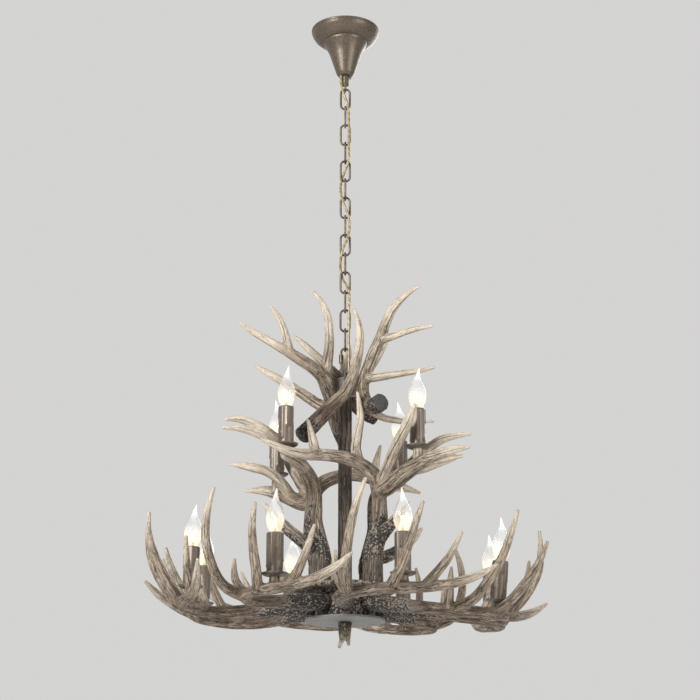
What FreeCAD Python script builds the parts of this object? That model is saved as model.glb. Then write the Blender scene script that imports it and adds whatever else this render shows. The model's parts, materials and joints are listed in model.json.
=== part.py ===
import FreeCAD, Part
import math
import os
import re
import Sketcher
from FreeCAD import Placement, Rotation, Vector

# Antler chandelier on a chain. Millimetres; the origin is the middle of the canopy's rim on the
# ceiling, Z is up and the front looks along -Y.
os.makedirs("parts", exist_ok=True)
doc = FreeCAD.newDocument("AntlerChandelier")

SIZES = {
    # ceiling pieces
    "bracket_length": 100, "bracket_width": 22, "bracket_sheet": 2.5, "bracket_drop": 14,
    "bracket_web": 52, "screw_spacing": 76, "screw_hole_radius": 2.6,
    "stem_radius": 5, "stem_bore_radius": 3, "stem_nut_width": 15, "stem_nut_height": 5,
    "canopy_radius": 74, "canopy_height": 110, "canopy_lip": 5, "canopy_wall": 1.2,
    "crease_radius": 47, "crease_height": 80, "bell_foot_radius": 19.5, "bell_foot_height": 7,
    "canopy_floor_radius": 15, "collar_radius": 7.6, "collar_height": 21, "collar_bore_depth": 18,
    "loop_half_width": 7, "loop_drop": 14.6, "set_screw_radius": 1.5, "set_screw_length": 5,
    # chain
    "wire_radius": 2.3, "link_length": 47, "link_half_width": 9.7, "chain_play": 0.3,
    "quick_length": 56, "quick_half_width": 8, "gate_gap": 9, "gate_drop": 23,
    "gate_sleeve_radius": 4.8, "gate_sleeve_length": 17.5, "clearance": 0.3,
    "cord_radius": 2.75, "cord_hole_radius": 3.1,
    # column
    "eye_half_width": 8, "eye_height": 15, "flange_radius": 15.5, "flange_thickness": 3,
    "cap_radius": 13.5, "cap_foot_radius": 12.5, "cap_height": 30, "rod_seat_depth": 20,
    "cord_seat_depth": 10, "rod_radius": 6, "rod_bore_radius": 3.5,
    "column_radius": 14.5, "column_length": 402, "bolt_radius": 3,
    # hub
    "disc_radius": 104, "disc_thickness": 12, "drum_radius": 62, "hub_height": 66,
    "socket_radius": 21, "socket_top_radius": 19.5, "socket_height": 56,
    "plate_radius": 80, "plate_thickness": 4, "finial_radius": 16, "finial_height": 13, "fork_drop": 52,
    # lamps
    "lower_ring_radius": 322, "lower_pan_drop": 30, "mid_pan_rise": 254, "boss_radius": 10,
    "pan_radius": 25, "pan_floor": 3, "pan_height": 6, "pan_wall": 1.5,
    "candle_radius": 16.8, "candle_wall": 1.2, "candle_height": 78,
    "holder_radius": 11, "holder_height": 70, "holder_bore_depth": 27,
    "bulb_cap_radius": 6.8, "bulb_cap_length": 28, "bulb_radius": 17.5, "bulb_glass_height": 93,
    "glass_wall": 0.8, "bulb_tip_bend": 5,
}
LINKS = 14

sheet = doc.addObject("Spreadsheet::Sheet", "Sizes")
for row, (alias, number) in enumerate(SIZES.items(), start=1):
    sheet.set("A%d" % row, alias)
    sheet.set("B%d" % row, str(number))
    sheet.setAlias("B%d" % row, alias)
doc.recompute()

# Places worked out from the sizes, as drops below the ceiling unless they say otherwise.
LOOP_CROWN = "(canopy_height + collar_height + loop_drop)"
STACK = "(2 * wire_radius + chain_play)"
PITCH = "(link_length - %s)" % STACK
QUICK_CROWN = "(%s + %d * %s - %s)" % (LOOP_CROWN, LINKS, PITCH, STACK)
EYE_CROWN = "(%s + quick_length - %s)" % (QUICK_CROWN, STACK)
CAP_TOP = "(%s + eye_height)" % EYE_CROWN
CAP_FOOT = "(%s + cap_height)" % CAP_TOP
HUB_TOP = "(%s + column_length)" % CAP_FOOT
HUB_FOOT = "(%s + hub_height)" % HUB_TOP
PLATE_FOOT = "(%s + plate_thickness)" % HUB_FOOT
ROD_TOP = "(%s - rod_seat_depth)" % CAP_FOOT
ROD_FOOT = "(%s + 0.6 * finial_height)" % PLATE_FOOT
HOLDER_BORE = "(bulb_cap_radius + clearance)"


def ref(text):
    """An expression in which every size name points at the sheet."""
    return re.sub(r"[a-z]\w*", r"Sizes.\g<0>", str(text))


def size(text):
    """The number that an expression of sizes gives now."""
    return float(sheet.evalExpression(ref(text)))


def bind(obj, **expressions):
    for prop, text in expressions.items():
        obj.setExpression(prop.replace("__", "."), ref(text))
    return obj


def lift(obj, drop):
    """Binds an object's height to a drop below the ceiling."""
    obj.setExpression("Placement.Base.z", ref("-(%s)" % drop))
    return obj


def cylinder(name, radius, height, drop, x=0, y=0):
    obj = bind(doc.addObject("Part::Cylinder", name), Radius=radius, Height=height)
    bind(obj, Placement__Base__x=x, Placement__Base__y=y)
    return lift(obj, drop)


def box(name, length, width, height, x, drop):
    """A box centred on Y whose low-x end is at x and whose foot is at the drop."""
    obj = bind(doc.addObject("Part::Box", name), Length=length, Width=width, Height=height)
    bind(obj, Placement__Base__x=x, Placement__Base__y="-(%s) / 2" % width)
    return lift(obj, drop)


def fuse(name, shapes):
    obj = doc.addObject("Part::MultiFuse", name)
    obj.Shapes = shapes
    obj.Refine = True
    return obj


def cut(name, base, tool):
    obj = doc.addObject("Part::Cut", name)
    obj.Base = base
    obj.Tool = tool
    return obj


def feature(name, shape, placement=None):
    """A document object for a free-form solid or a group of copies."""
    obj = doc.addObject("Part::Feature", name)
    obj.Shape = shape
    if placement is not None:
        obj.Placement = placement
    return obj


def turned(name, outline, drop):
    """A turned body. The outline's corners are (radius, height above the foot), the foot is at the drop."""
    body = doc.addObject("PartDesign::Body", name)
    sketch = body.newObject("Sketcher::SketchObject", name + "_profile")
    plane = [f for f in body.Origin.OriginFeatures if f.Role == "XZ_Plane"][0]
    sketch.AttachmentSupport = [(plane, "")]
    sketch.MapMode = "FlatFace"
    corners = [Vector(size(r), size(h), 0) for r, h in outline]
    count = len(corners)
    for i in range(count):
        sketch.addGeometry(Part.LineSegment(corners[i], corners[(i + 1) % count]), False)
    for i in range(count):
        sketch.addConstraint(Sketcher.Constraint("Coincident", i, 2, (i + 1) % count, 1))
    for i, (radius, height) in enumerate(outline):
        for axis, kind, text in ((-2, "DistanceX", radius), (-1, "DistanceY", height)):
            if text == 0:
                sketch.addConstraint(Sketcher.Constraint("PointOnObject", i, 1, axis))
            else:
                number = sketch.addConstraint(Sketcher.Constraint(kind, -1, 1, i, 1, size(text)))
                sketch.setExpression("Constraints[%d]" % number, ref(text))
    turn = body.newObject("PartDesign::Revolution", name + "_turn")
    turn.Profile = sketch
    turn.ReferenceAxis = (sketch, ["V_Axis"])
    turn.Angle = 360
    body.Tip = turn
    return lift(body, drop)


def half_ring(name, radius, drop, above, turn_z):
    """Half a wire ring in an upright plane: the upper half, or the lower one."""
    ring = bind(doc.addObject("Part::Torus", name), Radius1=radius, Radius2="wire_radius")
    ring.Angle3 = 180
    upright = Rotation(Vector(1, 0, 0), 90 if above else -90)
    ring.Placement = Placement(Vector(), Rotation(Vector(0, 0, 1), turn_z).multiply(upright))
    return lift(ring, drop)


def leg(name, side, across_y, half_width, foot, height):
    """One straight leg of a wire link, from its foot upwards."""
    at = "%d * %s" % (side, half_width)
    place = {"y": at} if across_y else {"x": at}
    return cylinder(name, "wire_radius", height, foot, **place)


# Ceiling pieces

def ceiling_bracket():
    name = "ceiling_bracket"
    flange = "(bracket_length - bracket_web) / 2"
    wall = "bracket_sheet"
    depth = "(bracket_drop + bracket_sheet)"
    solids = [
        box(name + "_left", flange, "bracket_width", wall, "-bracket_length / 2", wall),
        box(name + "_right", flange, "bracket_width", wall, "bracket_web / 2", wall),
        box(name + "_left_wall", wall, "bracket_width", depth, "-bracket_web / 2", depth),
        box(name + "_right_wall", wall, "bracket_width", depth, "bracket_web / 2 - bracket_sheet", depth),
        box(name + "_web", "bracket_web", "bracket_width", wall, "-bracket_web / 2", depth),
    ]
    holes = [
        cylinder(name + "_hole_1", "screw_hole_radius", "2 * bracket_sheet", "1.5 * bracket_sheet",
                 x="-screw_spacing / 2"),
        cylinder(name + "_hole_2", "screw_hole_radius", "2 * bracket_sheet", "1.5 * bracket_sheet",
                 x="screw_spacing / 2"),
        cylinder(name + "_hole_3", "stem_radius", "2 * bracket_sheet", "bracket_drop + 1.5 * bracket_sheet"),
    ]
    return cut(name, fuse(name + "_blank", solids), fuse(name + "_holes", holes))


def hanger_stem():
    name = "hanger_stem"
    top = "bracket_drop - stem_nut_height"
    foot = "(canopy_height + collar_bore_depth)"
    tube = cylinder(name + "_tube", "stem_radius", "%s - (%s)" % (foot, top), foot)
    nut = bind(doc.addObject("Part::Prism", name + "_nut"),
               Circumradius="stem_nut_width / 1.732", Height="stem_nut_height")
    nut.Polygon = 6
    lift(nut, "bracket_drop")
    bore = cylinder(name + "_bore", "stem_bore_radius", "%s + 2" % foot, "%s + 1" % foot)
    return cut(name, fuse(name + "_blank", [tube, nut]), bore)


def canopy():
    bowl = "crease_radius + %g * (canopy_radius - crease_radius)"
    rise = "crease_height + %g * (canopy_height - canopy_lip - crease_height)"
    # Each corner of the outer skin, with how far the inner skin is drawn in and up in walls there.
    skin = [
        ("canopy_floor_radius", "0", 0.55, 1),
        ("bell_foot_radius", "bell_foot_height", 0.9, 0.46),
        ("crease_radius", "crease_height", 0.78, 0.75),
        (bowl % 0.36, rise % 0.12, 0.46, 0.89),
        (bowl % 0.72, rise % 0.42, 0.72, 0.7),
        (bowl % 0.93, rise % 0.74, 0.9, 0.44),
        ("canopy_radius", "canopy_height - canopy_lip", 1, 0.34),
        ("canopy_radius", "canopy_height", 1, 0),
    ]
    outer = [(r, h if h != "0" else 0) for r, h, _, _ in skin]
    inner = [("%s - %g * canopy_wall" % (r, a), "%s + %g * canopy_wall" % (h, b)) for r, h, a, b in skin]
    hole = "stem_radius + clearance"
    shell = turned("canopy_shell", [(hole, 0)] + outer + inner[::-1] + [(hole, "canopy_wall")],
                   "canopy_height")
    x, y = CORD_HOLE
    bore = cylinder("canopy_cord_hole", "cord_hole_radius", "4 * canopy_wall",
                    "canopy_height + 2 * canopy_wall", x, y)
    return cut("canopy", shell, bore)


def canopy_loop():
    name = "canopy_loop"
    foot = "(canopy_height + collar_height)"
    bend = "(%s - loop_half_width)" % LOOP_CROWN
    collar = cylinder(name + "_collar", "collar_radius", "collar_height", foot)
    legs = [leg(name + "_leg_%d" % i, side, True, "loop_half_width", bend, "%s - %s + 2" % (bend, foot))
            for i, side in ((1, -1), (2, 1))]
    crown = half_ring(name + "_crown", "loop_half_width", bend, False, 90)
    bore = cylinder(name + "_bore", "stem_radius", "collar_bore_depth", "canopy_height + collar_bore_depth")
    blank = fuse(name + "_blank", [collar, crown] + legs)
    return cut(name, blank, fuse(name + "_bores", [bore] + [screw_hole(i) for i in (0, 1)]))


def screw_hole(index):
    """A set screw's thread room in the collar, and the screw's own shank."""
    side, share = ((1, 0.3), (-1, 0.68))[index]
    shank = bind(doc.addObject("Part::Cylinder", "set_screw_shank_%d" % index),
                 Radius="set_screw_radius", Height="collar_radius + 0.4 * set_screw_length - stem_radius")
    shank.Placement = Placement(Vector(), Rotation(Vector(0, 1, 0), 90 * side))
    bind(shank, Placement__Base__x="%d * stem_radius" % side)
    return lift(shank, "canopy_height + %g * collar_height" % share)


def set_screws():
    """Two small screws through the collar, one each side at different heights."""
    solids = []
    for index, (side, share) in enumerate(((1, 0.3), (-1, 0.68))):
        head = bind(doc.addObject("Part::Cylinder", "set_screw_head_%d" % index),
                    Radius="1.6 * set_screw_radius", Height="0.8 * set_screw_length")
        head.Placement = Placement(Vector(), Rotation(Vector(0, 1, 0), 90 * side))
        bind(head, Placement__Base__x="%d * (collar_radius + 0.3 * set_screw_length)" % side)
        lift(head, "canopy_height + %g * collar_height" % share)
        shank = doc.getObject("set_screw_shank_%d" % index)
        solids.append(fuse("set_screw_%d" % index, [shank, head]))
    screws = doc.addObject("Part::Compound", "set_screws")
    screws.Links = solids
    return screws


# Chain

def chain():
    """One link drawn hanging from the ceiling, and a placed copy of it for each link of the chain."""
    upper = "link_half_width"
    lower = "(link_length - link_half_width)"
    straight = "link_length - 2 * link_half_width"
    solids = [
        half_ring("link_top", "link_half_width", upper, True, 0),
        half_ring("link_bottom", "link_half_width", lower, False, 0),
        leg("link_leg_1", -1, False, "link_half_width", lower, straight),
        leg("link_leg_2", 1, False, "link_half_width", lower, straight),
    ]
    pattern = fuse("link_pattern", solids)
    links = []
    for k in range(1, LINKS + 1):
        link = doc.addObject("Part::Compound", "chain_link_%02d" % k)
        link.Links = [pattern]
        link.Placement = Placement(Vector(), Rotation(Vector(0, 0, 1), 90 * (1 - k % 2)))
        links.append(lift(link, "%s + %d * %s - %s" % (LOOP_CROWN, k - 1, PITCH, STACK)))
    return links


def quick_link():
    """A link with a gap in its left leg."""
    name = "quick_link"
    upper = "(%s + quick_half_width)" % QUICK_CROWN
    lower = "(%s + quick_length - quick_half_width)" % QUICK_CROWN
    gap_top = "(%s + gate_drop - gate_gap / 2)" % QUICK_CROWN
    gap_foot = "(%s + gate_drop + gate_gap / 2)" % QUICK_CROWN
    solids = [
        half_ring(name + "_top", "quick_half_width", upper, True, 0),
        half_ring(name + "_bottom", "quick_half_width", lower, False, 0),
        leg(name + "_right", 1, False, "quick_half_width", lower, "%s - %s" % (lower, upper)),
        leg(name + "_left_top", -1, False, "quick_half_width", gap_top, "%s - %s" % (gap_top, upper)),
        leg(name + "_left_foot", -1, False, "quick_half_width", lower, "%s - %s" % (lower, gap_foot)),
    ]
    return fuse(name, solids)


def quick_link_sleeve():
    """The nut that closes the quick link's gap and slides down its leg to open it."""
    name = "quick_link_sleeve"
    foot = "%s + gate_drop + gate_sleeve_length / 2" % QUICK_CROWN
    barrel = cylinder(name + "_barrel", "gate_sleeve_radius", "gate_sleeve_length", foot,
                      x="-quick_half_width")
    bore = cylinder(name + "_bore", "wire_radius + clearance", "gate_sleeve_length + 2", foot + " + 1",
                    x="-quick_half_width")
    return cut(name, barrel, bore)


# Supply cord: it drops from the ceiling through the canopy's floor, weaves down the chain in the
# corners between the links and ends in the column's cap.
CORD_HOLE = (-9.6, -5.8)
CORD_SEAT = (8.0, -5.9)
CORD_BEND = 9.0
# Plan position beside each crossing of two links, from the loop's down to the quick link's.
CORD_CROSSINGS = [
    (-7.6, -7.4), (7.4, -7.6), (8.0, -7.2), (7.3, -7.8), (7.9, -7.5), (-7.6, 7.4), (-7.3, -7.8),
    (7.6, -7.6), (8.0, -7.3), (-7.5, -7.6), (-7.7, 7.5), (7.6, -7.4), (7.4, -7.8), (7.9, -7.4),
    (7.5, -7.7),
]


def cord_points():
    points = [Vector(-20, -17, -6), Vector(-17, -15, -60)]
    floor = size("canopy_height")
    points += [Vector(*CORD_HOLE, -floor + 14), Vector(*CORD_HOLE, -floor - 12)]
    for j, (x, y) in enumerate(CORD_CROSSINGS):
        points.append(Vector(x, y, -size("%s + %d * %s - %s / 2" % (LOOP_CROWN, j, PITCH, STACK))))
    top = size(CAP_TOP)
    points += [Vector(*CORD_SEAT, -top + 9), Vector(*CORD_SEAT, -top - size("cord_seat_depth") + 0.5)]
    return points


def rounded_path(points, radius):
    """Straight runs with an arc tangent to both at every corner."""
    edges = []
    start = points[0]
    for before, corner, after in zip(points, points[1:], points[2:]):
        back = (before - corner).normalize()
        ahead = (after - corner).normalize()
        half_turn = (math.pi - back.getAngle(ahead)) / 2
        reach = radius * math.tan(half_turn)
        middle = (back + ahead).normalize() * (radius / math.cos(half_turn) - radius)
        edges.append(Part.LineSegment(start, corner + back * reach).toShape())
        arc = Part.Arc(corner + back * reach, corner + middle, corner + ahead * reach)
        edges.append(arc.toShape())
        start = corner + ahead * reach
    edges.append(Part.LineSegment(start, points[-1]).toShape())
    return Part.Wire(edges)


def supply_cord():
    path = rounded_path(cord_points(), CORD_BEND)
    first = path.Edges[0]
    start = first.Vertexes[0].Point
    profile = Part.Wire([Part.makeCircle(size("cord_radius"), start, first.tangentAt(first.FirstParameter))])
    solid = path.makePipeShell([profile], True, False)
    straight = math.pi * size("cord_radius") ** 2 * path.Length
    print("supply cord: length %.0f, volume share %.4f" % (path.Length, solid.Volume / straight))
    return feature("supply_cord", solid)


# Column and hub

def column_cap():
    name = "column_cap"
    flange_foot = "(%s + flange_thickness)" % CAP_TOP
    bend = "(%s + eye_half_width)" % EYE_CROWN
    flange = cylinder(name + "_flange", "flange_radius", "flange_thickness", flange_foot)
    body = bind(doc.addObject("Part::Cone", name + "_body"), Radius1="cap_foot_radius",
                Radius2="cap_radius", Height="cap_height - flange_thickness")
    lift(body, CAP_FOOT)
    legs = [leg(name + "_leg_%d" % i, side, True, "eye_half_width", flange_foot,
                "%s - %s" % (flange_foot, bend)) for i, side in ((1, -1), (2, 1))]
    crown = half_ring(name + "_crown", "eye_half_width", bend, True, 90)
    seat = cylinder(name + "_rod_seat", "rod_radius", "rod_seat_depth + 1", CAP_FOOT + " + 1")
    x, y = CORD_SEAT
    cord = cylinder(name + "_cord_seat", "cord_hole_radius", "cord_seat_depth + 1",
                    CAP_TOP + " + cord_seat_depth", x, y)
    return cut(name, fuse(name + "_blank", [flange, body, crown] + legs), fuse(name + "_seats", [seat, cord]))


def column_rod():
    length = "(%s - %s)" % (ROD_FOOT, ROD_TOP)
    outline = [("rod_bore_radius", 0), ("rod_radius", 0), ("rod_radius", length), ("rod_bore_radius", length)]
    return turned("column_rod", outline, ROD_FOOT)


def antler_bolts():
    """A bolt from the column's wall to the middle of each top antler."""
    shank = size("(rod_radius + column_radius) / 2 - clearance")
    solids = []
    for x, y, z in TOP_BOLTS:
        out = Vector(x, y, 0)
        height = Vector(0, 0, z - size(EYE_CROWN))
        start = Vector(out).normalize() * shank
        solids.append(Part.makeCylinder(size("bolt_radius"), (out - start).Length, start + height, out))
    return feature("antler_bolts", Part.makeCompound(solids))


def column_sleeve(bolts):
    bore = "rod_radius + clearance / 2"
    outline = [(bore, 0), ("column_radius", 0), ("column_radius", "column_length"), (bore, "column_length")]
    return cut("column_sleeve", turned("column_tube", outline, HUB_TOP), bolts)


def hub():
    """Disc, drum and the four sockets that the middle antlers stand on."""
    name = "hub"
    solids = [
        cylinder(name + "_disc", "disc_radius", "disc_thickness", "%s + disc_thickness" % HUB_TOP),
        cylinder(name + "_drum", "drum_radius", "hub_height", HUB_FOOT),
    ]
    for i, (x, y) in enumerate(socket_places()):
        socket = bind(doc.addObject("Part::Cone", "%s_socket_%d" % (name, i + 1)), Radius1="socket_radius",
                      Radius2="socket_top_radius", Height="socket_height + disc_thickness / 2")
        bind(socket, Placement__Base__x=x, Placement__Base__y=y)
        solids.append(lift(socket, "%s + disc_thickness / 2" % HUB_TOP))
    bore = cylinder(name + "_bore", "rod_radius", "hub_height + 2", HUB_FOOT + " + 1")
    return cut(name, fuse(name + "_blank", solids), bore)


def hub_plate():
    outline = [("rod_radius", 0), ("plate_radius", 0), ("plate_radius", "plate_thickness"),
               ("rod_radius", "plate_thickness")]
    return turned("hub_plate", outline, PLATE_FOOT)


# The finial's two prongs: (x, y, share of the fork's drop, radius).
FORK = [
    [(-2, 0, 0.1, 11), (-4, 0, 0.4, 8.6), (-6, -1, 0.68, 5), (-12, -2, 1, 2.6)],
    [(2, 0, 0.1, 11), (4, 0, 0.38, 8.2), (5.5, 1, 0.62, 5), (7.5, 2, 0.88, 2.6)],
]


def bottom_finial():
    """A stub under the plate that forks into two prongs."""
    height = size("finial_height")
    drop = size("fork_drop")
    stub = Part.makeCone(size("finial_radius"), 0.8 * size("finial_radius"), height, Vector(), Vector(0, 0, -1))
    prongs = [branch([(x, y, -share * drop, radius) for x, y, share, radius in prong]) for prong in FORK]
    solid = stub.multiFuse(prongs).removeSplitter()
    seat = Part.makeCylinder(size("rod_radius"), size("%s - %s" % (ROD_FOOT, PLATE_FOOT)), Vector(),
                             Vector(0, 0, -1))
    return feature("bottom_finial", solid.cut(seat), Placement(Vector(0, 0, -size(PLATE_FOOT)), Rotation()))


# Antlers. Each branch is a list of (x, y, z, radius) from its root to its tip. The top antlers are
# drawn from the eye's crown, the middle ones from the middle of the hub's top face. The lower
# casting is drawn with x outwards from the hub, y to the right and z from the hub's top face.
TOP_ANTLERS = [
    [
        [(73, -77, -85, 18.5), (60, -56, -87, 18), (45, -35, -79, 15.5), (36, -24, -53, 14),
         (38, -22, -27, 12.8), (47, -26, 1, 12.2), (59, -30, 33, 11.6), (73, -36, 64, 11),
         (84, -42, 93, 10), (97, -46, 120, 8.5), (119, -52, 145, 6.7), (137, -56, 159, 4.5),
         (153, -60, 167, 2.6)],
        [(74, -38, 58, 8.8), (99, -44, 65, 7.6), (127, -52, 72, 6.3), (155, -58, 78, 4.7), (179, -64, 80, 2.6)],
        [(45, -26, -20, 10.4), (80, -44, -21, 8.1), (114, -58, -20, 6.6), (151, -70, -17, 5),
         (181, -80, -13, 2.6)],
        [(40, -22, -76, 9.4), (74, 0, -95, 7.2), (105, 14, -99, 6.3), (144, 28, -99, 5.1), (183, 40, -94, 2.6)],
    ],
    [
        [(-86, -86, -158, 18), (-66, -71, -133, 17.2), (-43, -54, -104, 16), (-21, -38, -77, 14.6),
         (-1, -28, -53, 12.8), (11, -28, -29, 11.3), (19, -30, -4, 10.4), (26, -34, 25, 9.4),
         (30, -38, 60, 8.5), (27, -42, 93, 6.3), (18, -46, 123, 2.6)],
    ],
    [
        [(-10, 34, -150, 4), (-15, 30, -124, 9.5), (-22, 22, -94, 14.3), (-26, 12, -64, 16.6),
         (-35, 2, -34, 17), (-46, -6, -10, 16), (-68, -14, 7, 13.3), (-94, -22, 22, 11.7),
         (-119, -30, 36, 10.4), (-147, -38, 50, 8.2), (-175, -44, 65, 6.9), (-197, -50, 77, 5.4),
         (-216, -56, 89, 2.6)],
        [(-42, -2, -16, 13), (-38, -8, 16, 11.4), (-33, -12, 51, 9.5), (-33, -16, 84, 8.3),
         (-37, -20, 116, 7.3), (-49, -24, 145, 5.4), (-68, -30, 167, 2.6)],
        [(-115, -30, 36, 9.5), (-122, -38, 67, 7.3), (-131, -44, 93, 6.3), (-142, -50, 112, 5.1),
         (-154, -56, 125, 2.6)],
        [(-36, 18, -72, 13), (-56, 26, -61, 11.8), (-88, 36, -37, 10.2), (-124, 46, -11, 8.7),
         (-157, 54, 11, 7.1), (-188, 62, 32, 2.6)],
    ],
    [
        [(64, 56, -84, 15), (38, 40, -74, 15.5), (14, 26, -54, 15), (-8, 30, -18, 13.5),
         (-26, 38, 10, 11.5), (-46, 48, 34, 9.5), (-66, 60, 58, 8), (-86, 72, 81, 6.5), (-108, 82, 104, 2.6)],
        [(12, 28, -44, 11.3), (40, 42, 4, 9.4), (66, 58, 48, 8.1), (88, 74, 85, 2.6)],
        [(-10, 31, -14, 9.7), (-2, 42, 20, 8.4), (6, 53, 50, 7.1), (9, 62, 77, 2.6)],
    ],
]
TOP_BOLTS = [(36, -24, -53), (-1, -28, -53), (-26, 12, -64), (14, 26, -54)]

RIGHT_TRUNK = [
    (53, -62, 34, 20), (55, -62, 56, 20.5), (62, -60, 86, 19.5), (69, -58, 120, 16.7), (69, -57, 151, 15.6),
    (67, -57, 181, 15.6), (62, -58, 207, 16.4), (46, -62, 226, 15.3), (25, -68, 238, 14.2),
    (-5, -78, 247, 13), (-38, -94, 248, 11.9),
]
RIGHT_BRANCHES = [
    [(-59, -110, 246, 10.3), (-64, -106, 276, 8.2), (-74, -106, 317, 2.6)],
    [(70, -58, 196, 13), (88, -100, 227, 12), (104, -138, 261, 11), (122, -156, 297, 9.5),
     (138, -164, 334, 2.6)],
    [(69, -58, 181, 15.6), (88, -80, 188, 16.5), (110, -104, 202, 17), (138, -128, 217, 15.5),
     (171, -148, 231, 11.7), (206, -164, 240, 8.7), (242, -176, 244, 2.6)],
    [(153, -138, 223, 9.9), (192, -150, 226, 7.3), (230, -160, 230, 2.6)],
    [(112, -102, 206, 12), (140, -84, 242, 10), (168, -82, 266, 9), (202, -90, 284, 7.6),
     (250, -102, 289, 2.6)],
    [(62, -60, 78, 15.5), (79, -76, 98, 13.3), (96, -90, 115, 10.3), (113, -100, 134, 7.7),
     (125, -108, 150, 2.6)],
]
BACK_BRANCHES = [
    *RIGHT_BRANCHES[:2],
    [(69, -58, 181, 15.6), (88, -80, 188, 16.5), (110, -104, 202, 16.5), (138, -128, 218, 14.5),
     (172, -150, 230, 9.6), (212, -166, 233, 2.6)],
    [(112, -102, 206, 12), (138, -83, 238, 10.5), (164, -81, 256, 9.6), (202, -92, 268, 8.2),
     (240, -104, 277, 2.6)],
    RIGHT_BRANCHES[-1],
]
LEFT_TRUNK = [
    (-46, -56, 34, 20), (-48, -56, 56, 20.5), (-55, -54, 87, 19.2), (-61, -53, 121, 17.1),
    (-61, -54, 151, 16.4), (-62, -58, 177, 16.4), (-68, -70, 201, 16), (-82, -88, 222, 14.8),
    (-100, -97, 240, 13),
]
LEFT_BRANCHES = [
    [(-74, -78, 212, 13), (-90, -104, 229, 12.5), (-106, -126, 236, 11.5), (-118, -141, 238, 10)],
    [(-56, -60, 75, 15.5), (-78, -80, 75, 13.9), (-100, -98, 87, 12.1), (-121, -112, 104, 10.2),
     (-143, -122, 123, 8), (-160, -130, 145, 2.6)],
]
RIGHT_LAMP = (144, -122)
LEFT_LAMP = (-116, -138)
# Middle antlers: branches, lamp position, turn about the column.
MID_ANTLERS = [
    ([RIGHT_TRUNK + [(-67, -118, 243, 11), (-92, -146, 238, 9.8), (-117, -164, 241, 8.2),
                     (-139, -174, 249, 6.3), (-162, -182, 258, 2.6)],
      [(29, -66, 236, 11.6), (22, -62, 268, 9.7), (27, -58, 304, 8.3), (31, -57, 339, 7), (25, -56, 388, 2.6)],
      *RIGHT_BRANCHES], RIGHT_LAMP, 0),
    ([LEFT_TRUNK + [(-122, -100, 266, 11.6), (-148, -108, 286, 10.2), (-177, -118, 303, 8.8),
                    (-209, -126, 313, 6.9), (-236, -132, 311, 2.6)],
      [(-128, -101, 266, 9.9), (-154, -112, 278, 8.4), (-180, -122, 287, 7.3), (-210, -132, 293, 6.2),
       (-240, -140, 292, 2.6)],
      *LEFT_BRANCHES], LEFT_LAMP, 0),
    ([RIGHT_TRUNK + [(-67, -118, 243, 11), (-92, -146, 240, 9.8), (-122, -164, 240, 8.4),
                     (-159, -176, 231, 2.6)],
      *BACK_BRANCHES], RIGHT_LAMP, 180),
    ([LEFT_TRUNK + [(-122, -100, 262, 11.6), (-146, -104, 278, 10), (-176, -112, 290, 2.6)],
      [(-124, -99, 260, 10), (-160, -104, 266, 8.6), (-194, -118, 280, 7), (-232, -134, 294, 2.6)],
      *LEFT_BRANCHES], LEFT_LAMP, 180),
]

LOWER_BRANCHES = [
    [(46, -15, -36, 20), (70, -25, -38, 19.5), (130, -52, -45, 16), (200, -80, -53, 12.5),
     (258, -86, -57, 11.2), (306, -66, -57, 10.8), (331, -24, -55, 10.6), (331, 30, -51, 10),
     (338, 85, -43, 8.8), (350, 132, -28, 7), (362, 172, -6, 2.8)],
    [(262, -84, -56, 10.4), (310, -108, -40, 9.6), (340, -118, -10, 8.8), (368, -120, 38, 7.8),
     (380, -112, 86, 6.2), (386, -96, 132, 2.8)],
    [(330, -30, -54, 9.8), (358, -20, -24, 9), (384, -14, 14, 7.8), (404, -6, 54, 6), (414, 4, 90, 2.8)],
    [(332, 36, -50, 9.2), (343, 60, -22, 8), (356, 80, 8, 6.6), (365, 100, 50, 2.6)],
    [(255, -88, -54, 9.4), (264, -110, -20, 7.4), (266, -112, 20, 2.6)],
]
LOWER_DRAWN_RING = 322
LOWER_SEAT_DROP = 40
# Azimuth from the front, to the right, and the sag of each lower antler in degrees.
LOWER_ANTLERS = [(19.5, 0), (-23.5, 0), (-68, -1.5), (66, 5), (-113, -3), (112, 1.5), (157, -2.5), (-158, -6)]


def socket_places():
    """Where the middle antlers stand, in plan."""
    places = []
    for branches, _, turn in MID_ANTLERS:
        x, y = branches[0][1][:2]
        sign = -1 if turn else 1
        places.append((sign * x, sign * y))
    return places


def smooth(points, steps=2):
    """More points on a smooth curve through the given ones, radius included."""
    ends = [points[0]] + list(points) + [points[-1]]
    curve = []
    for p0, p1, p2, p3 in zip(ends, ends[1:], ends[2:], ends[3:]):
        for step in range(steps):
            u = step / steps
            curve.append([b + 0.5 * u * (c - a + u * (2 * a - 5 * b + 4 * c - d + u * (3 * (b - c) + d - a)))
                          for a, b, c, d in zip(p0, p1, p2, p3)])
    return curve + [list(points[-1])]


def branch(points):
    """A tapering round branch with a blunt tip."""
    curve = smooth(points)
    centres = [Vector(*p[:3]) for p in curve]
    radii = [p[3] for p in curve]
    last = (centres[-1] - centres[-2]).normalize()
    centres.append(centres[-1] + last * radii[-1] * 0.8)
    radii.append(radii[-1] * 0.55)
    side = Vector(0, 1, 0) if abs(last.y) < 0.8 else Vector(0, 0, 1)
    rings = []
    for i, centre in enumerate(centres):
        along = (centres[min(i + 1, len(centres) - 1)] - centres[max(i - 1, 0)]).normalize()
        across = along.cross(side).normalize()
        side = across.cross(along)
        ring = Part.makeCircle(radii[i])
        ring.Placement = Placement(centre, Rotation(side, across, along, "ZXY"))
        rings.append(Part.Wire([ring]))
    return Part.makeLoft(rings, True, True)


def antler(branches, extras=()):
    """Branches grown into one solid, with a lamp's boss where there is one."""
    solids = [branch(points) for points in branches]
    return solids[0].multiFuse(solids[1:] + list(extras))


def boss(x, y, foot, top):
    return Part.makeCylinder(size("boss_radius"), top - foot, Vector(x, y, foot))


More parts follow.
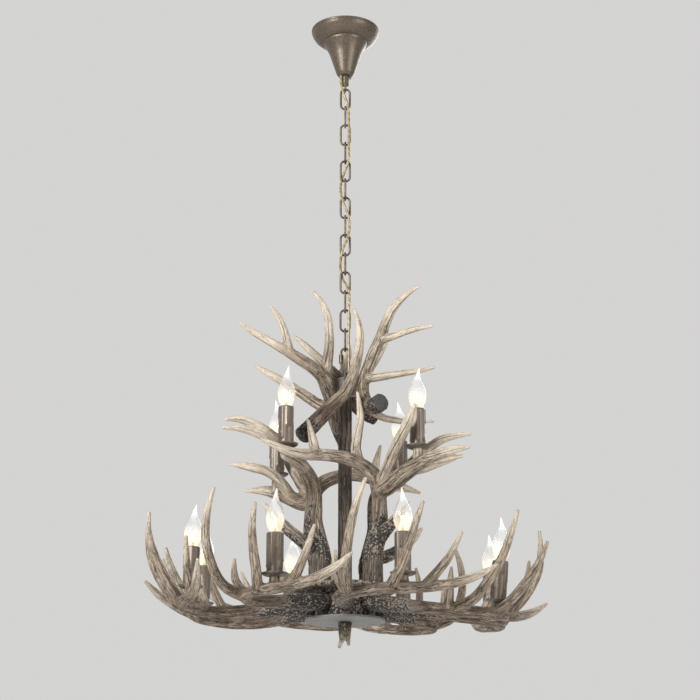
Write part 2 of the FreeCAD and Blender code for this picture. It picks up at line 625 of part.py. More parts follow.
def top_antlers(tools):
    place = Placement(Vector(0, 0, -size(EYE_CROWN)), Rotation())
    for number, branches in enumerate(TOP_ANTLERS, start=1):
        shape = antler(branches).cut([moved(tool, place.inverse()) for tool in tools])
        feature("top_antler_%d" % number, largest(shape), place)


def mid_antlers():
    top = size("socket_height")
    for number, (branches, lamp, turn) in enumerate(MID_ANTLERS, start=1):
        foot = nearest_height(branches, *lamp)
        shape = antler(branches, [boss(*lamp, foot, size("mid_pan_rise"))])
        x, y = branches[0][1][:2]
        below = Part.makeCylinder(2 * size("socket_radius"), 60 + top, Vector(x, y, -60))
        place = Placement(Vector(0, 0, -size(HUB_TOP)), Rotation(Vector(0, 0, 1), turn))
        feature("mid_antler_%d" % number, largest(shape.cut(below)), place)


def lower_place(azimuth, sag):
    """The lower casting's place: turned about the column and tipped about its seat on the drum."""
    seat = Vector(size("drum_radius"), 0, -LOWER_SEAT_DROP)
    tip = Placement(seat, Rotation(Vector(0, 1, 0), sag)).multiply(Placement(-seat, Rotation()))
    around = Placement(Vector(0, 0, -size(HUB_TOP)), Rotation(Vector(0, 0, 1), azimuth - 90))
    return around.multiply(tip)


def lower_antlers():
    scale = size("lower_ring_radius") / LOWER_DRAWN_RING
    branches = [[(x * scale, y * scale, z, r) for x, y, z, r in points] for points in LOWER_BRANCHES]
    lamp = size("lower_ring_radius")
    casting = antler(branches, [boss(lamp, 0, nearest_height(branches, lamp, 0), -size("lower_pan_drop"))])
    drum = Part.makeCylinder(size("drum_radius"), 2 * size("hub_height"),
                             Vector(0, 0, -size(HUB_TOP) - 1.5 * size("hub_height")))
    for number, (azimuth, sag) in enumerate(LOWER_ANTLERS, start=1):
        place = lower_place(azimuth, sag)
        feature("lower_antler_%d" % number, largest(casting.cut(moved(drum, place.inverse()))), place)


def nearest_height(branches, x, y):
    """The height of the branch point that is nearest to a plan position."""
    points = [p for points in branches for p in smooth(points, 8)]
    return min(points, key=lambda p: math.hypot(p[0] - x, p[1] - y))[2]


def moved(shape, place):
    """A copy of a shape, moved by a placement."""
    copy = shape.copy()
    copy.Placement = place.multiply(copy.Placement)
    return copy


def largest(shape):
    return max(shape.Solids, key=lambda solid: solid.Volume)


# Lamps: pan, candle sleeve, lamp holder and bulb, drawn from the top of the boss upwards.
BULB_FORM = [(0, 0.38), (0.07, 0.5), (0.16, 0.74), (0.27, 0.94), (0.37, 1), (0.47, 0.95), (0.6, 0.72),
             (0.72, 0.44), (0.83, 0.24), (0.92, 0.13), (1, 0.07)]


def lamp_places():
    """The top of each boss, the lower ring first and turned so that its bulbs bend inwards."""
    inwards = Rotation(Vector(0, 0, 1), 180)
    seat = Placement(Vector(size("lower_ring_radius"), 0, -size("lower_pan_drop")), inwards)
    places = [lower_place(azimuth, sag).multiply(seat) for azimuth, sag in LOWER_ANTLERS]
    for _, (x, y), turn in MID_ANTLERS:
        around = Placement(Vector(0, 0, -size(HUB_TOP)), Rotation(Vector(0, 0, 1), turn))
        places.append(around.multiply(Placement(Vector(x, y, size("mid_pan_rise")), Rotation())))
    return places


def drip_pan():
    outline = [
        (0, 0), ("pan_radius - pan_height / 2", 0), ("pan_radius", "pan_height / 2"),
        ("pan_radius", "pan_height"), ("pan_radius - pan_wall", "pan_height"),
        ("pan_radius - pan_wall", "pan_height / 2 + pan_wall / 2"),
        ("pan_radius - pan_height / 2 - pan_wall / 2", "pan_floor"), (0, "pan_floor"),
    ]
    return turned("pan_pattern", outline, 0)


def candle_sleeve():
    inner = "candle_radius - candle_wall"
    top = "pan_floor + candle_height"
    outline = [(inner, "pan_floor"), ("candle_radius", "pan_floor"), ("candle_radius", top), (inner, top)]
    return turned("candle_pattern", outline, 0)


def lamp_holder():
    top = "(pan_floor + holder_height)"
    bore_foot = "%s - holder_bore_depth" % top
    outline = [(0, "pan_floor"), ("holder_radius", "pan_floor"), ("holder_radius", top), (HOLDER_BORE, top),
               (HOLDER_BORE, bore_foot), (0, bore_foot)]
    return turned("holder_pattern", outline, 0)


def bulb():
    """Blown glass with a bent tip, closed at its neck by the metal cap."""
    cap_foot = size("pan_floor + holder_height - holder_bore_depth + clearance")
    neck = cap_foot + size("bulb_cap_length")
    cap = Part.makeCylinder(size("bulb_cap_radius"), size("bulb_cap_length"), Vector(0, 0, cap_foot))
    form = smooth([(h, r, size("bulb_tip_bend") * max(0, h - 0.6) ** 2 / 0.16) for h, r in BULB_FORM], 3)
    skins = []
    for wall in (0, size("glass_wall")):
        rings = []
        for height, radius, bend in form:
            radius = radius * size("bulb_radius") - wall
            if radius > 0.3:
                centre = Vector(bend, 0, neck + height * size("bulb_glass_height"))
                rings.append(Part.Wire([Part.makeCircle(radius, centre)]))
        skins.append(Part.makeLoft(rings, True, True))
    return Part.makeCompound([skins[0].cut(skins[1]), cap])


def lamps():
    places = lamp_places()
    for name, pattern in (("drip_pans", drip_pan()), ("candle_sleeves", candle_sleeve()),
                          ("lamp_holders", lamp_holder())):
        doc.recompute()
        feature(name, Part.makeCompound([moved(pattern.Shape, place) for place in places]))
    shape = bulb()
    for number, place in enumerate(places, start=1):
        feature("bulb_%02d" % number, shape, place)


ceiling_bracket()
hanger_stem()
canopy()
canopy_loop()
set_screws()
chain()
quick_link()
quick_link_sleeve()
supply_cord()
cap = column_cap()
column_rod()
bolts = antler_bolts()
sleeve = column_sleeve(bolts)
hub()
hub_plate()
bottom_finial()
doc.recompute()
top_antlers([cap.Shape, doc.getObject("column_tube").Shape, bolts.Shape])
mid_antlers()
lower_antlers()
lamps()
doc.recompute()

NODES = ["ceiling_bracket", "hanger_stem", "canopy", "canopy_loop", "set_screws", "quick_link",
         "quick_link_sleeve", "supply_cord", "column_cap", "column_rod", "column_sleeve", "antler_bolts", "hub",
         "hub_plate", "bottom_finial", "drip_pans", "candle_sleeves", "lamp_holders"]
NODES += ["chain_link_%02d" % k for k in range(1, LINKS + 1)]
NODES += ["top_antler_%d" % k for k in range(1, len(TOP_ANTLERS) + 1)]
NODES += ["mid_antler_%d" % k for k in range(1, len(MID_ANTLERS) + 1)]
NODES += ["lower_antler_%d" % k for k in range(1, len(LOWER_ANTLERS) + 1)]
NODES += ["bulb_%02d" % k for k in range(1, len(LOWER_ANTLERS) + len(MID_ANTLERS) + 1)]

for obj in doc.Objects:
    if {"Invalid", "Error"} & set(obj.State):
        raise RuntimeError("%s: %s" % (obj.Label, obj.State))
for name in NODES:
    shape = doc.getObject(name).Shape
    if shape.isNull() or not shape.isValid() or not shape.Solids:
        raise RuntimeError("%s has no sound solid" % name)
    shape.exportStep("parts/%s.step" % name)
print("%d nodes" % len(NODES))
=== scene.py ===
import json
import math

import bmesh
import bpy
import numpy as np
from mathutils import Matrix, Vector

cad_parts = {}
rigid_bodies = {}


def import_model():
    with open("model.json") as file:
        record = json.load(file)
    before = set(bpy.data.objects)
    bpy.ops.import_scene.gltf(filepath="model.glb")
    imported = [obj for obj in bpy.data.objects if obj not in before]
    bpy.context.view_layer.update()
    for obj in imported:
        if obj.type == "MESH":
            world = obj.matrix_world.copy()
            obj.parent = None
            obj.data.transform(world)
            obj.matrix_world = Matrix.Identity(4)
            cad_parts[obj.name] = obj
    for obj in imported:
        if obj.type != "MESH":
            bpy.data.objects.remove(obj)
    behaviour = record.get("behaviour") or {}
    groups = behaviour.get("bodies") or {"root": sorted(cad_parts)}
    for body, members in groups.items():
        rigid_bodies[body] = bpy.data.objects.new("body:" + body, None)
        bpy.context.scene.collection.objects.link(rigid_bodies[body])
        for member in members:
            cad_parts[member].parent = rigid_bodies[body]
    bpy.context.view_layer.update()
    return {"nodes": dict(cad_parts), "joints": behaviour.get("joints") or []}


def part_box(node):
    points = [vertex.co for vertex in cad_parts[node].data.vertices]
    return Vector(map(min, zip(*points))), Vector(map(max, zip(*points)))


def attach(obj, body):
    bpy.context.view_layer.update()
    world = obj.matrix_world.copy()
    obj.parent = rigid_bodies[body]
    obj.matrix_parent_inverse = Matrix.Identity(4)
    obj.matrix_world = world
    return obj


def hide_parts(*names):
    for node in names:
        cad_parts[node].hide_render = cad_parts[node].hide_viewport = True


# Dressed antler chandelier. Shapes are drawn in millimetres, in the frame of the CAD part, and
# stored in metres.
MM = 0.001
MERGE = 0.001
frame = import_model()
nodes = frame["nodes"]

WIRE = 2.3
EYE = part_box("column_cap")[1].z / MM - WIRE
CAP_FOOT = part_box("column_cap")[0].z / MM
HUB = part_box("column_sleeve")[0].z / MM
HUB_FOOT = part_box("hub")[0].z / MM
PLATE_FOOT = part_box("hub_plate")[0].z / MM
COLUMN_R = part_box("column_sleeve")[1].x / MM
SOCKET_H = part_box("hub")[1].z / MM - HUB
DISC_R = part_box("hub")[1].x / MM
DISC_T = 12
DRUM_R = 62
SOCKET_R = 21
CANOPY_H = -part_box("canopy")[0].z / MM
CANOPY_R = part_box("canopy")[1].x / MM
LOWER_RING = 322
LOWER_PAN = -30
LOWER_SEAT = -40
LOWER_ARM = -54
MID_PAN = 254
PAN_FLOOR = 3
CANDLE_H = 78
CANDLE_R = 16.8
BULB_R = 17.5
BULB_H = 93
BULB_NECK = 74.3
VOXEL = 1.5
SOFTENING = 12
TIP_R = 3.4

# Antlers: each branch is a list of (x, y, z, radius) from its root to its tip. The top antlers are
# drawn from the eye's crown, the middle ones from the hub's top face, and the lower casting with
# x outwards from the hub, y to the right and z from the hub's top face.
TOP_ANTLERS = [
    [
        [(73, -77, -85, 18.5), (60, -56, -87, 18), (45, -35, -79, 15.5), (36, -24, -53, 14),
         (38, -22, -27, 12.8), (47, -26, 1, 12.2), (59, -30, 33, 11.6), (73, -36, 64, 11),
         (84, -42, 93, 10), (97, -46, 120, 8.5), (119, -52, 145, 6.7), (137, -56, 159, 4.5),
         (153, -60, 167, 2.6)],
        [(74, -38, 58, 8.8), (99, -44, 65, 7.6), (127, -52, 72, 6.3), (155, -58, 78, 4.7),
         (179, -64, 80, 2.6)],
        [(45, -26, -20, 10.4), (80, -44, -21, 8.1), (114, -58, -20, 6.6), (151, -70, -17, 5),
         (181, -80, -13, 2.6)],
        [(40, -22, -76, 9.4), (74, 0, -95, 7.2), (105, 14, -99, 6.3), (144, 28, -99, 5.1),
         (183, 40, -94, 2.6)],
    ],
    [
        [(-86, -86, -158, 18), (-66, -71, -133, 17.2), (-43, -54, -104, 16), (-21, -38, -77, 14.6),
         (-1, -28, -53, 12.8), (11, -28, -29, 11.3), (19, -30, -4, 10.4), (26, -34, 25, 9.4),
         (30, -38, 60, 8.5), (27, -42, 93, 6.3), (18, -46, 123, 2.6)],
    ],
    [
        [(-10, 34, -150, 4), (-15, 30, -124, 9.5), (-22, 22, -94, 14.3), (-26, 12, -64, 16.6),
         (-35, 2, -34, 17), (-46, -6, -10, 16), (-68, -14, 7, 13.3), (-94, -22, 22, 11.7),
         (-119, -30, 36, 10.4), (-147, -38, 50, 8.2), (-175, -44, 65, 6.9), (-197, -50, 77, 5.4),
         (-216, -56, 89, 2.6)],
        [(-42, -2, -16, 13), (-38, -8, 16, 11.4), (-33, -12, 51, 9.5), (-33, -16, 84, 8.3),
         (-37, -20, 116, 7.3), (-49, -24, 145, 5.4), (-68, -30, 167, 2.6)],
        [(-115, -30, 36, 9.5), (-122, -38, 67, 7.3), (-131, -44, 93, 6.3), (-142, -50, 112, 5.1),
         (-154, -56, 125, 2.6)],
        [(-36, 18, -72, 13), (-56, 26, -61, 11.8), (-88, 36, -37, 10.2), (-124, 46, -11, 8.7),
         (-157, 54, 11, 7.1), (-188, 62, 32, 2.6)],
    ],
    [
        [(64, 56, -84, 15), (38, 40, -74, 15.5), (14, 26, -54, 15), (-8, 30, -18, 13.5),
         (-26, 38, 10, 11.5), (-46, 48, 34, 9.5), (-66, 60, 58, 8), (-86, 72, 81, 6.5),
         (-108, 82, 104, 2.6)],
        [(12, 28, -44, 11.3), (40, 42, 4, 9.4), (66, 58, 48, 8.1), (88, 74, 85, 2.6)],
        [(-10, 31, -14, 9.7), (-2, 42, 20, 8.4), (6, 53, 50, 7.1), (9, 62, 77, 2.6)],
    ],
]
RIGHT_TRUNK = [
    (53, -62, 34, 20), (55, -62, 56, 20.5), (62, -60, 86, 19.5), (69, -58, 120, 16.7), (69, -57, 151, 15.6),
    (67, -57, 181, 15.6), (62, -58, 207, 16.4), (46, -62, 226, 15.3), (25, -68, 238, 14.2),
    (-5, -78, 247, 13), (-38, -94, 248, 11.9), (-67, -118, 243, 11),
]
RIGHT_KNOB = [(62, -60, 78, 15.5), (79, -76, 98, 13.3), (96, -90, 115, 10.3), (113, -100, 134, 7.7),
              (125, -108, 150, 2.6)]
RIGHT_BRANCHES = [
    [(-59, -110, 246, 10.3), (-64, -106, 276, 8.2), (-74, -106, 317, 2.6)],
    [(70, -58, 196, 13), (88, -100, 227, 12), (104, -138, 261, 11), (122, -156, 297, 9.5),
     (138, -164, 334, 2.6)],
    [(69, -58, 181, 15.6), (88, -80, 188, 16.5), (110, -104, 202, 17), (138, -128, 217, 15.5),
     (171, -148, 231, 11.7), (206, -164, 240, 8.7), (242, -176, 244, 2.6)],
    [(153, -138, 223, 9.9), (192, -150, 226, 7.3), (230, -160, 230, 2.6)],
    [(112, -102, 206, 12), (140, -84, 242, 10), (168, -82, 266, 9), (202, -90, 284, 7.6),
     (250, -102, 289, 2.6)],
    RIGHT_KNOB,
]
BACK_BRANCHES = [
    *RIGHT_BRANCHES[:2],
    [*RIGHT_BRANCHES[2][:2], (110, -104, 202, 16.5), (138, -128, 218, 14.5), (172, -150, 230, 9.6),
     (212, -166, 233, 2.6)],
    [(112, -102, 206, 12), (138, -83, 238, 10.5), (164, -81, 256, 9.6), (202, -92, 268, 8.2),
     (240, -104, 277, 2.6)],
    RIGHT_KNOB,
]
LEFT_TRUNK = [
    (-46, -56, 34, 20), (-48, -56, 56, 20.5), (-55, -54, 87, 19.2), (-61, -53, 121, 17.1),
    (-61, -54, 151, 16.4), (-62, -58, 177, 16.4), (-68, -70, 201, 16), (-82, -88, 222, 14.8),
    (-100, -97, 240, 13),
]
LEFT_KNOB = [(-56, -60, 75, 15.5), (-78, -80, 75, 13.9), (-100, -98, 87, 12.1), (-121, -112, 104, 10.2),
             (-143, -122, 123, 8), (-160, -130, 145, 2.6)]
LEFT_BRANCHES = [
    [(-74, -78, 212, 13), (-90, -104, 229, 12.5), (-106, -126, 236, 11.5), (-118, -141, 238, 10)],
    LEFT_KNOB,
]
RIGHT_LAMP = (144, -122)
LEFT_LAMP = (-116, -138)
# Middle antlers: branches, lamp position, turn about the column.
MID_ANTLERS = [
    ([RIGHT_TRUNK + [(-92, -146, 238, 9.8), (-117, -164, 241, 8.2), (-139, -174, 249, 6.3),
                     (-162, -182, 258, 2.6)],
      [(29, -66, 236, 11.6), (22, -62, 268, 9.7), (27, -58, 304, 8.3), (31, -57, 339, 7),
       (25, -56, 388, 2.6)],
      *RIGHT_BRANCHES], RIGHT_LAMP, 0),
    ([LEFT_TRUNK + [(-122, -100, 266, 11.6), (-148, -108, 286, 10.2), (-177, -118, 303, 8.8),
                    (-209, -126, 313, 6.9), (-236, -132, 311, 2.6)],
      [(-128, -101, 266, 9.9), (-154, -112, 278, 8.4), (-180, -122, 287, 7.3), (-210, -132, 293, 6.2),
       (-240, -140, 292, 2.6)],
      *LEFT_BRANCHES], LEFT_LAMP, 0),
    ([RIGHT_TRUNK + [(-92, -146, 240, 9.8), (-122, -164, 240, 8.4), (-159, -176, 231, 2.6)],
      *BACK_BRANCHES], RIGHT_LAMP, 180),
    ([LEFT_TRUNK + [(-122, -100, 262, 11.6), (-146, -104, 278, 10), (-176, -112, 290, 2.6)],
      [(-124, -99, 260, 10), (-160, -104, 266, 8.6), (-194, -118, 280, 7), (-232, -134, 294, 2.6)],
      *LEFT_BRANCHES], LEFT_LAMP, 180),
]

LOWER_BRANCHES = [
    [(56, -19, -37, 20), (70, -25, -38, 19.5), (130, -52, -45, 16), (200, -80, -53, 12.5),
     (258, -86, -57, 11.2), (306, -66, -57, 10.8), (331, -24, -55, 10.6), (331, 30, -51, 10),
     (338, 85, -43, 8.8), (350, 132, -28, 7), (362, 172, -6, 2.8)],
    [(262, -84, -56, 10.4), (310, -108, -40, 9.6), (340, -118, -10, 8.8), (368, -120, 38, 7.8),
     (380, -112, 86, 6.2), (386, -96, 132, 2.8)],
    [(330, -30, -54, 9.8), (358, -20, -24, 9), (384, -14, 14, 7.8), (404, -6, 54, 6), (414, 4, 90, 2.8)],
    [(332, 36, -50, 9.2), (343, 60, -22, 8), (356, 80, 8, 6.6), (365, 100, 50, 2.6)],
    [(255, -88, -54, 9.4), (264, -110, -20, 7.4), (266, -112, 20, 2.6)],
]
# Azimuth from the front, to the right, and the sag of each lower antler in degrees.
LOWER_ANTLERS = [(19.5, 0), (-23.5, 0), (-68, -1.5), (66, 5), (-113, -3), (112, 1.5), (157, -2.5),
                 (-158, -6)]

# The finial's two prongs, drawn from the plate's underside.
FORK = [
    [(-2, 0, -5.2, 11), (-4, 0, -20.8, 8.6), (-6, -1, -35.4, 5), (-12, -2, -51, 2.6)],
    [(2, 0, -5.2, 11), (4, 0, -19.8, 8.2), (5.5, 1, -32.2, 5), (7.5, 2, -45.8, 2.6)],
]

# The cord's route, point by point, down the chain.
CORD_R = 2.75
CORD_ROUTE = [
    (-20, -17, -6), (-17, -15, -60), (-9.6, -5.8, -96), (-9.6, -5.8, -122), (-7.6, -7.4, -143.2),
    (7.4, -7.8, -185.3), (8, -7.2, -227.4), (7.3, -7.8, -269.4), (9.2, -9, -311.6), (-10.8, 10.8, -353.7),
    (-9.2, -9.4, -395.8), (8.6, -8.2, -437.9), (9.4, -7.8, -480), (-9.6, -8, -522), (-10.8, 10.8, -564.1),
    (10.2, -9.6, -606.2), (7.4, -7.8, -648.3), (7.9, -7.4, -690.5), (7.5, -7.7, -732.6), (8, -5.9, -787.2),
    (8, -5.9, -805.7),
]
CORD_EXIT = CORD_ROUTE[3][:2]

# The studio, in metres, with the camera fitted to the photograph.
FLOOR_R = 16
FLOOR_Z = -2.35
LIT_POINT = Vector((0, 0, -0.9))
LIGHTS = [
    ("key", (-2.3, -2.8, 0.3), 150, 1.4), ("fill", (2.6, -2.4, -0.6), 45, 1.8),
    ("rim", (0.8, 2.6, 0.5), 50, 2.4),
]
CAMERA_PLACE = (0.01, -3.57, -1.83)
CAMERA_TILT = 17.08
LENS = 92.45
SENSOR = 36


# Numbers

def columns(*parts):
    """Lists of numbers side by side, as the columns of one array."""
    return np.stack(np.broadcast_arrays(*parts), axis=1)


def hash01(cell):
    """A fixed number from 0 to 1 for each whole-number cell."""
    mixed = (cell[..., 0] * 73856093) ^ (cell[..., 1] * 19349663) ^ (cell[..., 2] * 83492791)
    mixed = (mixed & 0x7FFFFFFF) * 1103515245 + 12345
    return ((mixed >> 7) % 100003) / 100003


def noise(points):
    """Smooth noise from 0 to 1, with one cell a unit."""
    cell = np.floor(points).astype(np.int64)
    f = points - cell
    f = f * f * (3 - 2 * f)
    total = np.zeros(len(points))
    for corner in np.ndindex(2, 2, 2):
        weight = np.prod(np.where(corner, f, 1 - f), axis=1)
        total += weight * hash01(cell + corner)
    return total


def nodules(points):
    """Round lumps of uneven height, at most 1, with 0 between them, about one a unit cell."""
    cell = np.floor(points).astype(np.int64)
    nearest = np.full(len(points), 9.0)
    height = np.zeros(len(points))
    for step in np.ndindex(3, 3, 3):
        other = cell + step - 1
        jitter = columns(hash01(other), hash01(other + 17), hash01(other + 43))
        far = np.linalg.norm(other + 0.1 + 0.8 * jitter - points, axis=1)
        height = np.where(far < nearest, 0.45 + 0.55 * hash01(other + 71), height)
        nearest = np.minimum(nearest, far)
    return height * np.clip(1 - nearest / 0.75, 0, 1)


def ease(value, low, high):
    """0 below low, 1 above high, smooth between; low may be the larger."""
    u = np.clip((value - low) / (high - low), 0, 1)
    return u * u * (3 - 2 * u)


def smooth(points, step=3.0):
    """A smooth curve through the points, any radius included, in steps of about this length."""
    p = np.array(points, float)
    ends = np.vstack([p[:1], p, p[-1:]])
    runs = []
    for a, b, c, d in zip(ends, ends[1:], ends[2:], ends[3:]):
        count = max(2, int(np.linalg.norm((c - b)[:3]) / step))
        u = np.linspace(0, 1, count, endpoint=False)[:, None]
        runs.append(b + 0.5 * u * (c - a + u * (2 * a - 5 * b + 4 * c - d + u * (3 * (b - c) + d - a))))
    return np.vstack(runs + [p[-1:]])


def unit(vector):
    return vector / np.linalg.norm(vector)


def carried_frames(centres):
    """The direction along a curve and two directions across it that don't twist."""
    along = np.gradient(centres, axis=0)
    along /= np.linalg.norm(along, axis=1, keepdims=True)
    side = np.array([0, 1, 0] if abs(along[0, 1]) < 0.8 else [0, 0, 1])
    sides = []
    for direction in along:
        side = unit(side - direction * np.dot(side, direction))
        sides.append(side)
    sides = np.array(sides)
    return along, sides, np.cross(along, sides)


# Meshes

def strip_faces(rows, sides):
    """Quads between rings of vertices, each ring closed on itself."""
    faces = []
    for low in range(0, (rows - 1) * sides, sides):
        high = low + sides
        for j in range(sides):
            k = (j + 1) % sides
            faces.append((low + j, low + k, high + k, high + j))
    return faces


def tube(centres, radii, sides=20):
    """Vertices and faces of a closed round tube."""
    _, across, up = carried_frames(centres)
    angle = np.linspace(0, math.tau, sides, endpoint=False)[None, :, None]
    spokes = np.cos(angle) * across[:, None] + np.sin(angle) * up[:, None]
    rings = centres[:, None] + radii[:, None, None] * spokes
    last = (len(centres) - 1) * sides
    ends = [tuple(range(sides))[::-1], tuple(range(last, last + sides))]
    return rings.reshape(-1, 3), strip_faces(len(centres), sides) + ends


def wire(line, radius, sides):
    """A round tube of one thickness."""
    return tube(line, np.full(len(line), radius), sides)


def lathe(profile, sides):
    """Vertices and faces of a turned form. Its profile of (radius, height) starts and ends on the axis, or
    ends where it starts."""
    angle = np.linspace(0, math.tau, sides, endpoint=False)
    rings = [columns(r * np.cos(angle), r * np.sin(angle), z) for r, z in profile]
    return np.vstack(rings), strip_faces(len(profile), sides)


def joined(parts):
    """Several (vertices, faces) as one."""
    faces, first = [], 0
    for v, f in parts:
        faces += [tuple(i + first for i in face) for face in f]
        first += len(v)
    return np.vstack([v for v, _ in parts]), faces


def new_mesh(name, part, merge=True):
    """A smooth shaded mesh from millimetre vertices and faces, with double points merged."""
    v, f = part
    mesh = bpy.data.meshes.new(name)
    mesh.from_pydata((v * MM).tolist(), [], f)
    if merge:
        bm = bmesh.new()
        bm.from_mesh(mesh)
        bmesh.ops.remove_doubles(bm, verts=bm.verts, dist=MERGE * MM)
        bmesh.ops.recalc_face_normals(bm, faces=bm.faces)
        bm.to_mesh(mesh)
        bm.free()
    mesh.shade_smooth()
    return mesh


def linked(name, data):
    """An object in the scene for a mesh, curve, light or camera."""
    obj = bpy.data.objects.new(name, data)
    bpy.context.scene.collection.objects.link(obj)
    return obj


def new_object(name, part, merge=True):
    return linked(name, new_mesh(name, part, merge))


def evaluated(obj):
    """The mesh that an object's modifiers or curve make. The object itself goes."""
    graph = bpy.context.evaluated_depsgraph_get()
    mesh = bpy.data.meshes.new_from_object(obj.evaluated_get(graph))
    bpy.data.objects.remove(obj)
    return mesh


def read(mesh, field):
    """The vertices' positions or normals, three numbers a row."""
    flat = np.zeros(len(mesh.vertices) * 3, np.float32)
    mesh.vertices.foreach_get(field, flat)
    return flat.reshape(-1, 3)


def vertices_of(mesh):
    """Vertex positions in millimetres."""
    return read(mesh, "co").astype(float) / MM


def shift(mesh, offsets):
    """Moves each vertex by an offset in millimetres."""
    moved = vertices_of(mesh) + offsets
    mesh.vertices.foreach_set("co", (moved * MM).astype(np.float32).ravel())
    mesh.update()


def push(mesh, offset):
    """Moves each vertex along its normal by an offset in millimetres."""
    shift(mesh, read(mesh, "normal") * offset[:, None])


def store(mesh, **values):
    """Keeps numbers or vectors on the vertices for the material to read."""
    for name, data in values.items():
        data = np.asarray(data, np.float32)
        kind, field = ("FLOAT_VECTOR", "vector") if data.ndim == 2 else ("FLOAT", "value")
        mesh.attributes.new(name, kind, "POINT").data.foreach_set(field, data.ravel())


def remeshed(name, part):
    """The union of closed forms as one even mesh with softened inner corners."""
    raw = new_object(name + "_raw", part, merge=False)
    remesh = raw.modifiers.new("union", "REMESH")
    remesh.mode = "VOXEL"
    remesh.voxel_size = VOXEL * MM
    soften = raw.modifiers.new("soften", "SMOOTH")
    soften.factor = 0.5
    soften.iterations = SOFTENING
    mesh = evaluated(raw)
    mesh.name = name
    mesh.shade_smooth()
    return mesh


# Resin castings: antlers, hub, sockets and column share one way of carving and staining.

def grooves(angle, along, radius, seed):
    """Long furrows that wander round a branch, 0 on the ridges and 1 in the furrows. None is narrower than
    the mesh can show, and they fade on thin branches."""
    depth = np.zeros(len(angle))
    for count, narrow, share, pace in ((4, 0.2, 0.7, 85), (7, 0.18, 0.6, 55), (12, 0.24, 0.45, 34)):
        width = np.maximum(narrow, 0.45 * count / radius)
        share = share * np.clip(1 - (width - narrow) / 0.35, 0, 1)
        wander = 1.5 * np.sin(along / pace + seed * count)
        wander += 0.7 * np.sin(along / (0.37 * pace) + seed + count)
        line = np.abs(np.sin((count * angle + wander) / 2))
        place = columns(along / 38 + 7 * seed, np.cos(angle) * 1.6 + count, np.sin(angle) * 1.6)
        depth += share * ease(noise(place), 0.25, 0.6) * np.exp(-((line / width) ** 2))
    return np.clip(depth, 0, 1)


def nearest_branch(points, curves):
    """For each point: its branch, how far along it, the radius there, the angle round it, the reach from its
    middle, the way to the round branch's surface, if it is on a sawn end, and how near another branch is."""
    best = second = np.full(len(points), 1e9)
    found = {}
    for number, curve in enumerate(curves):
        centres, radii = curve[:, :3], curve[:, 3]
        along, side, up = carried_frames(centres)
        steps = np.linalg.norm(np.diff(centres, axis=0), axis=1)
        length = np.concatenate([[0], np.cumsum(steps)])
        slope = np.gradient(radii) / np.gradient(length)
        squared = (points ** 2).sum(1)[:, None] - 2 * points @ centres.T + (centres ** 2).sum(1)
        near = np.argmin(squared, axis=1)
        away = points - centres[near]
        ahead = (away * along[near]).sum(1)
        tip = (near == len(centres) - 1) & (ahead > 0)
        sawn = (near == 0) & (ahead < 0.7)
        outward = np.where(tip[:, None], away, away - along[near] * ahead[:, None])
        reach = np.maximum(np.linalg.norm(outward, axis=1), 1e-6)
        radius = np.where(tip, radii[near], radii[near] + slope[near] * ahead)
        depth = np.maximum(reach - radius, np.where(sawn, -ahead, -1e9))
        swell = outward * ((radius - reach) / reach)[:, None]
        swell -= along[near] * (tip * np.maximum(ahead - 0.7 * radius, 0))[:, None]
        swell[sawn] = 0
        angle = np.arctan2((away * up[near]).sum(1), (away * side[near]).sum(1))
        mine = depth < best
        second = np.where(mine, best, np.minimum(second, depth))
        best = np.where(mine, depth, best)
        facts = {"branch": np.full(len(points), number), "along": length[near] + ahead, "radius": radius,
                 "angle": angle, "share": length[near] / length[-1], "swell": swell,
                 "sawn": sawn.astype(float), "reach": reach}
        for key, data in facts.items():
            found.setdefault(key, data)[mine] = data[mine]
    found["join"] = 1 - ease(second - best, 1, 12)
    return found


def branch_tube(curve):
    """A branch as a closed tube with a blunt tip."""
    centres, radii = curve[:, :3], curve[:, 3]
    tip = unit(centres[-1] - centres[-2]) * radii[-1]
    centres = np.vstack([centres, centres[-1] + tip * 0.45, centres[-1] + tip * 0.75])
    radii = np.concatenate([radii, radii[-1:] * 0.86, radii[-1:] * 0.45])
    return tube(centres, radii)


def boss_branch(x, y, foot, top):
    """The stub under a lamp's pan."""
    waist = foot + 0.45 * (top - foot)
    return np.array([(x, y, foot, 12.5), (x, y, waist, 11), (x, y, top - 3, 10), (x, y, top, 9.7)], float)


def blunted(curve):
    """A branch's curve cut a step short, with fuller tines and a thicker tip."""
    short = curve[:-1].copy()
    short[:, 3] = np.maximum(short[:, 3] * (1 + 0.1 * ease(short[:, 3], 15, 9)), TIP_R)
    return short


def antler_mesh(name, branches, pearled, seed, bosses=(), sawn=False, tone_and_painted_shade=0.0, bare_span=(20, 60)):
    """One casting: branches grown together, furrowed along their length and pearled near the given
    branches' roots. pearled maps a branch's number to the lengths where its pearls start to fade and are
    gone, and a tone shift darkens its stain, a value below 0 making it paler; on the lower casting part of
    the darkening is painted shade."""
    curves = [blunted(smooth(points)) for points in branches]
    stubs = [smooth(stub, 2) for stub in bosses]
    parts = [branch_tube(curve) for curve in curves]
    parts += [tube(stub[:, :3], stub[:, 3]) for stub in stubs]
    mesh = remeshed(name, joined(parts))
    near = nearest_branch(vertices_of(mesh), curves + stubs)
    shift(mesh, near["swell"] * (1 - near["join"])[:, None])
    near["sawn"] = near["sawn"] * sawn
    carve(mesh, near, pearled, seed, len(curves), tone_and_painted_shade, bare_span)
    return mesh


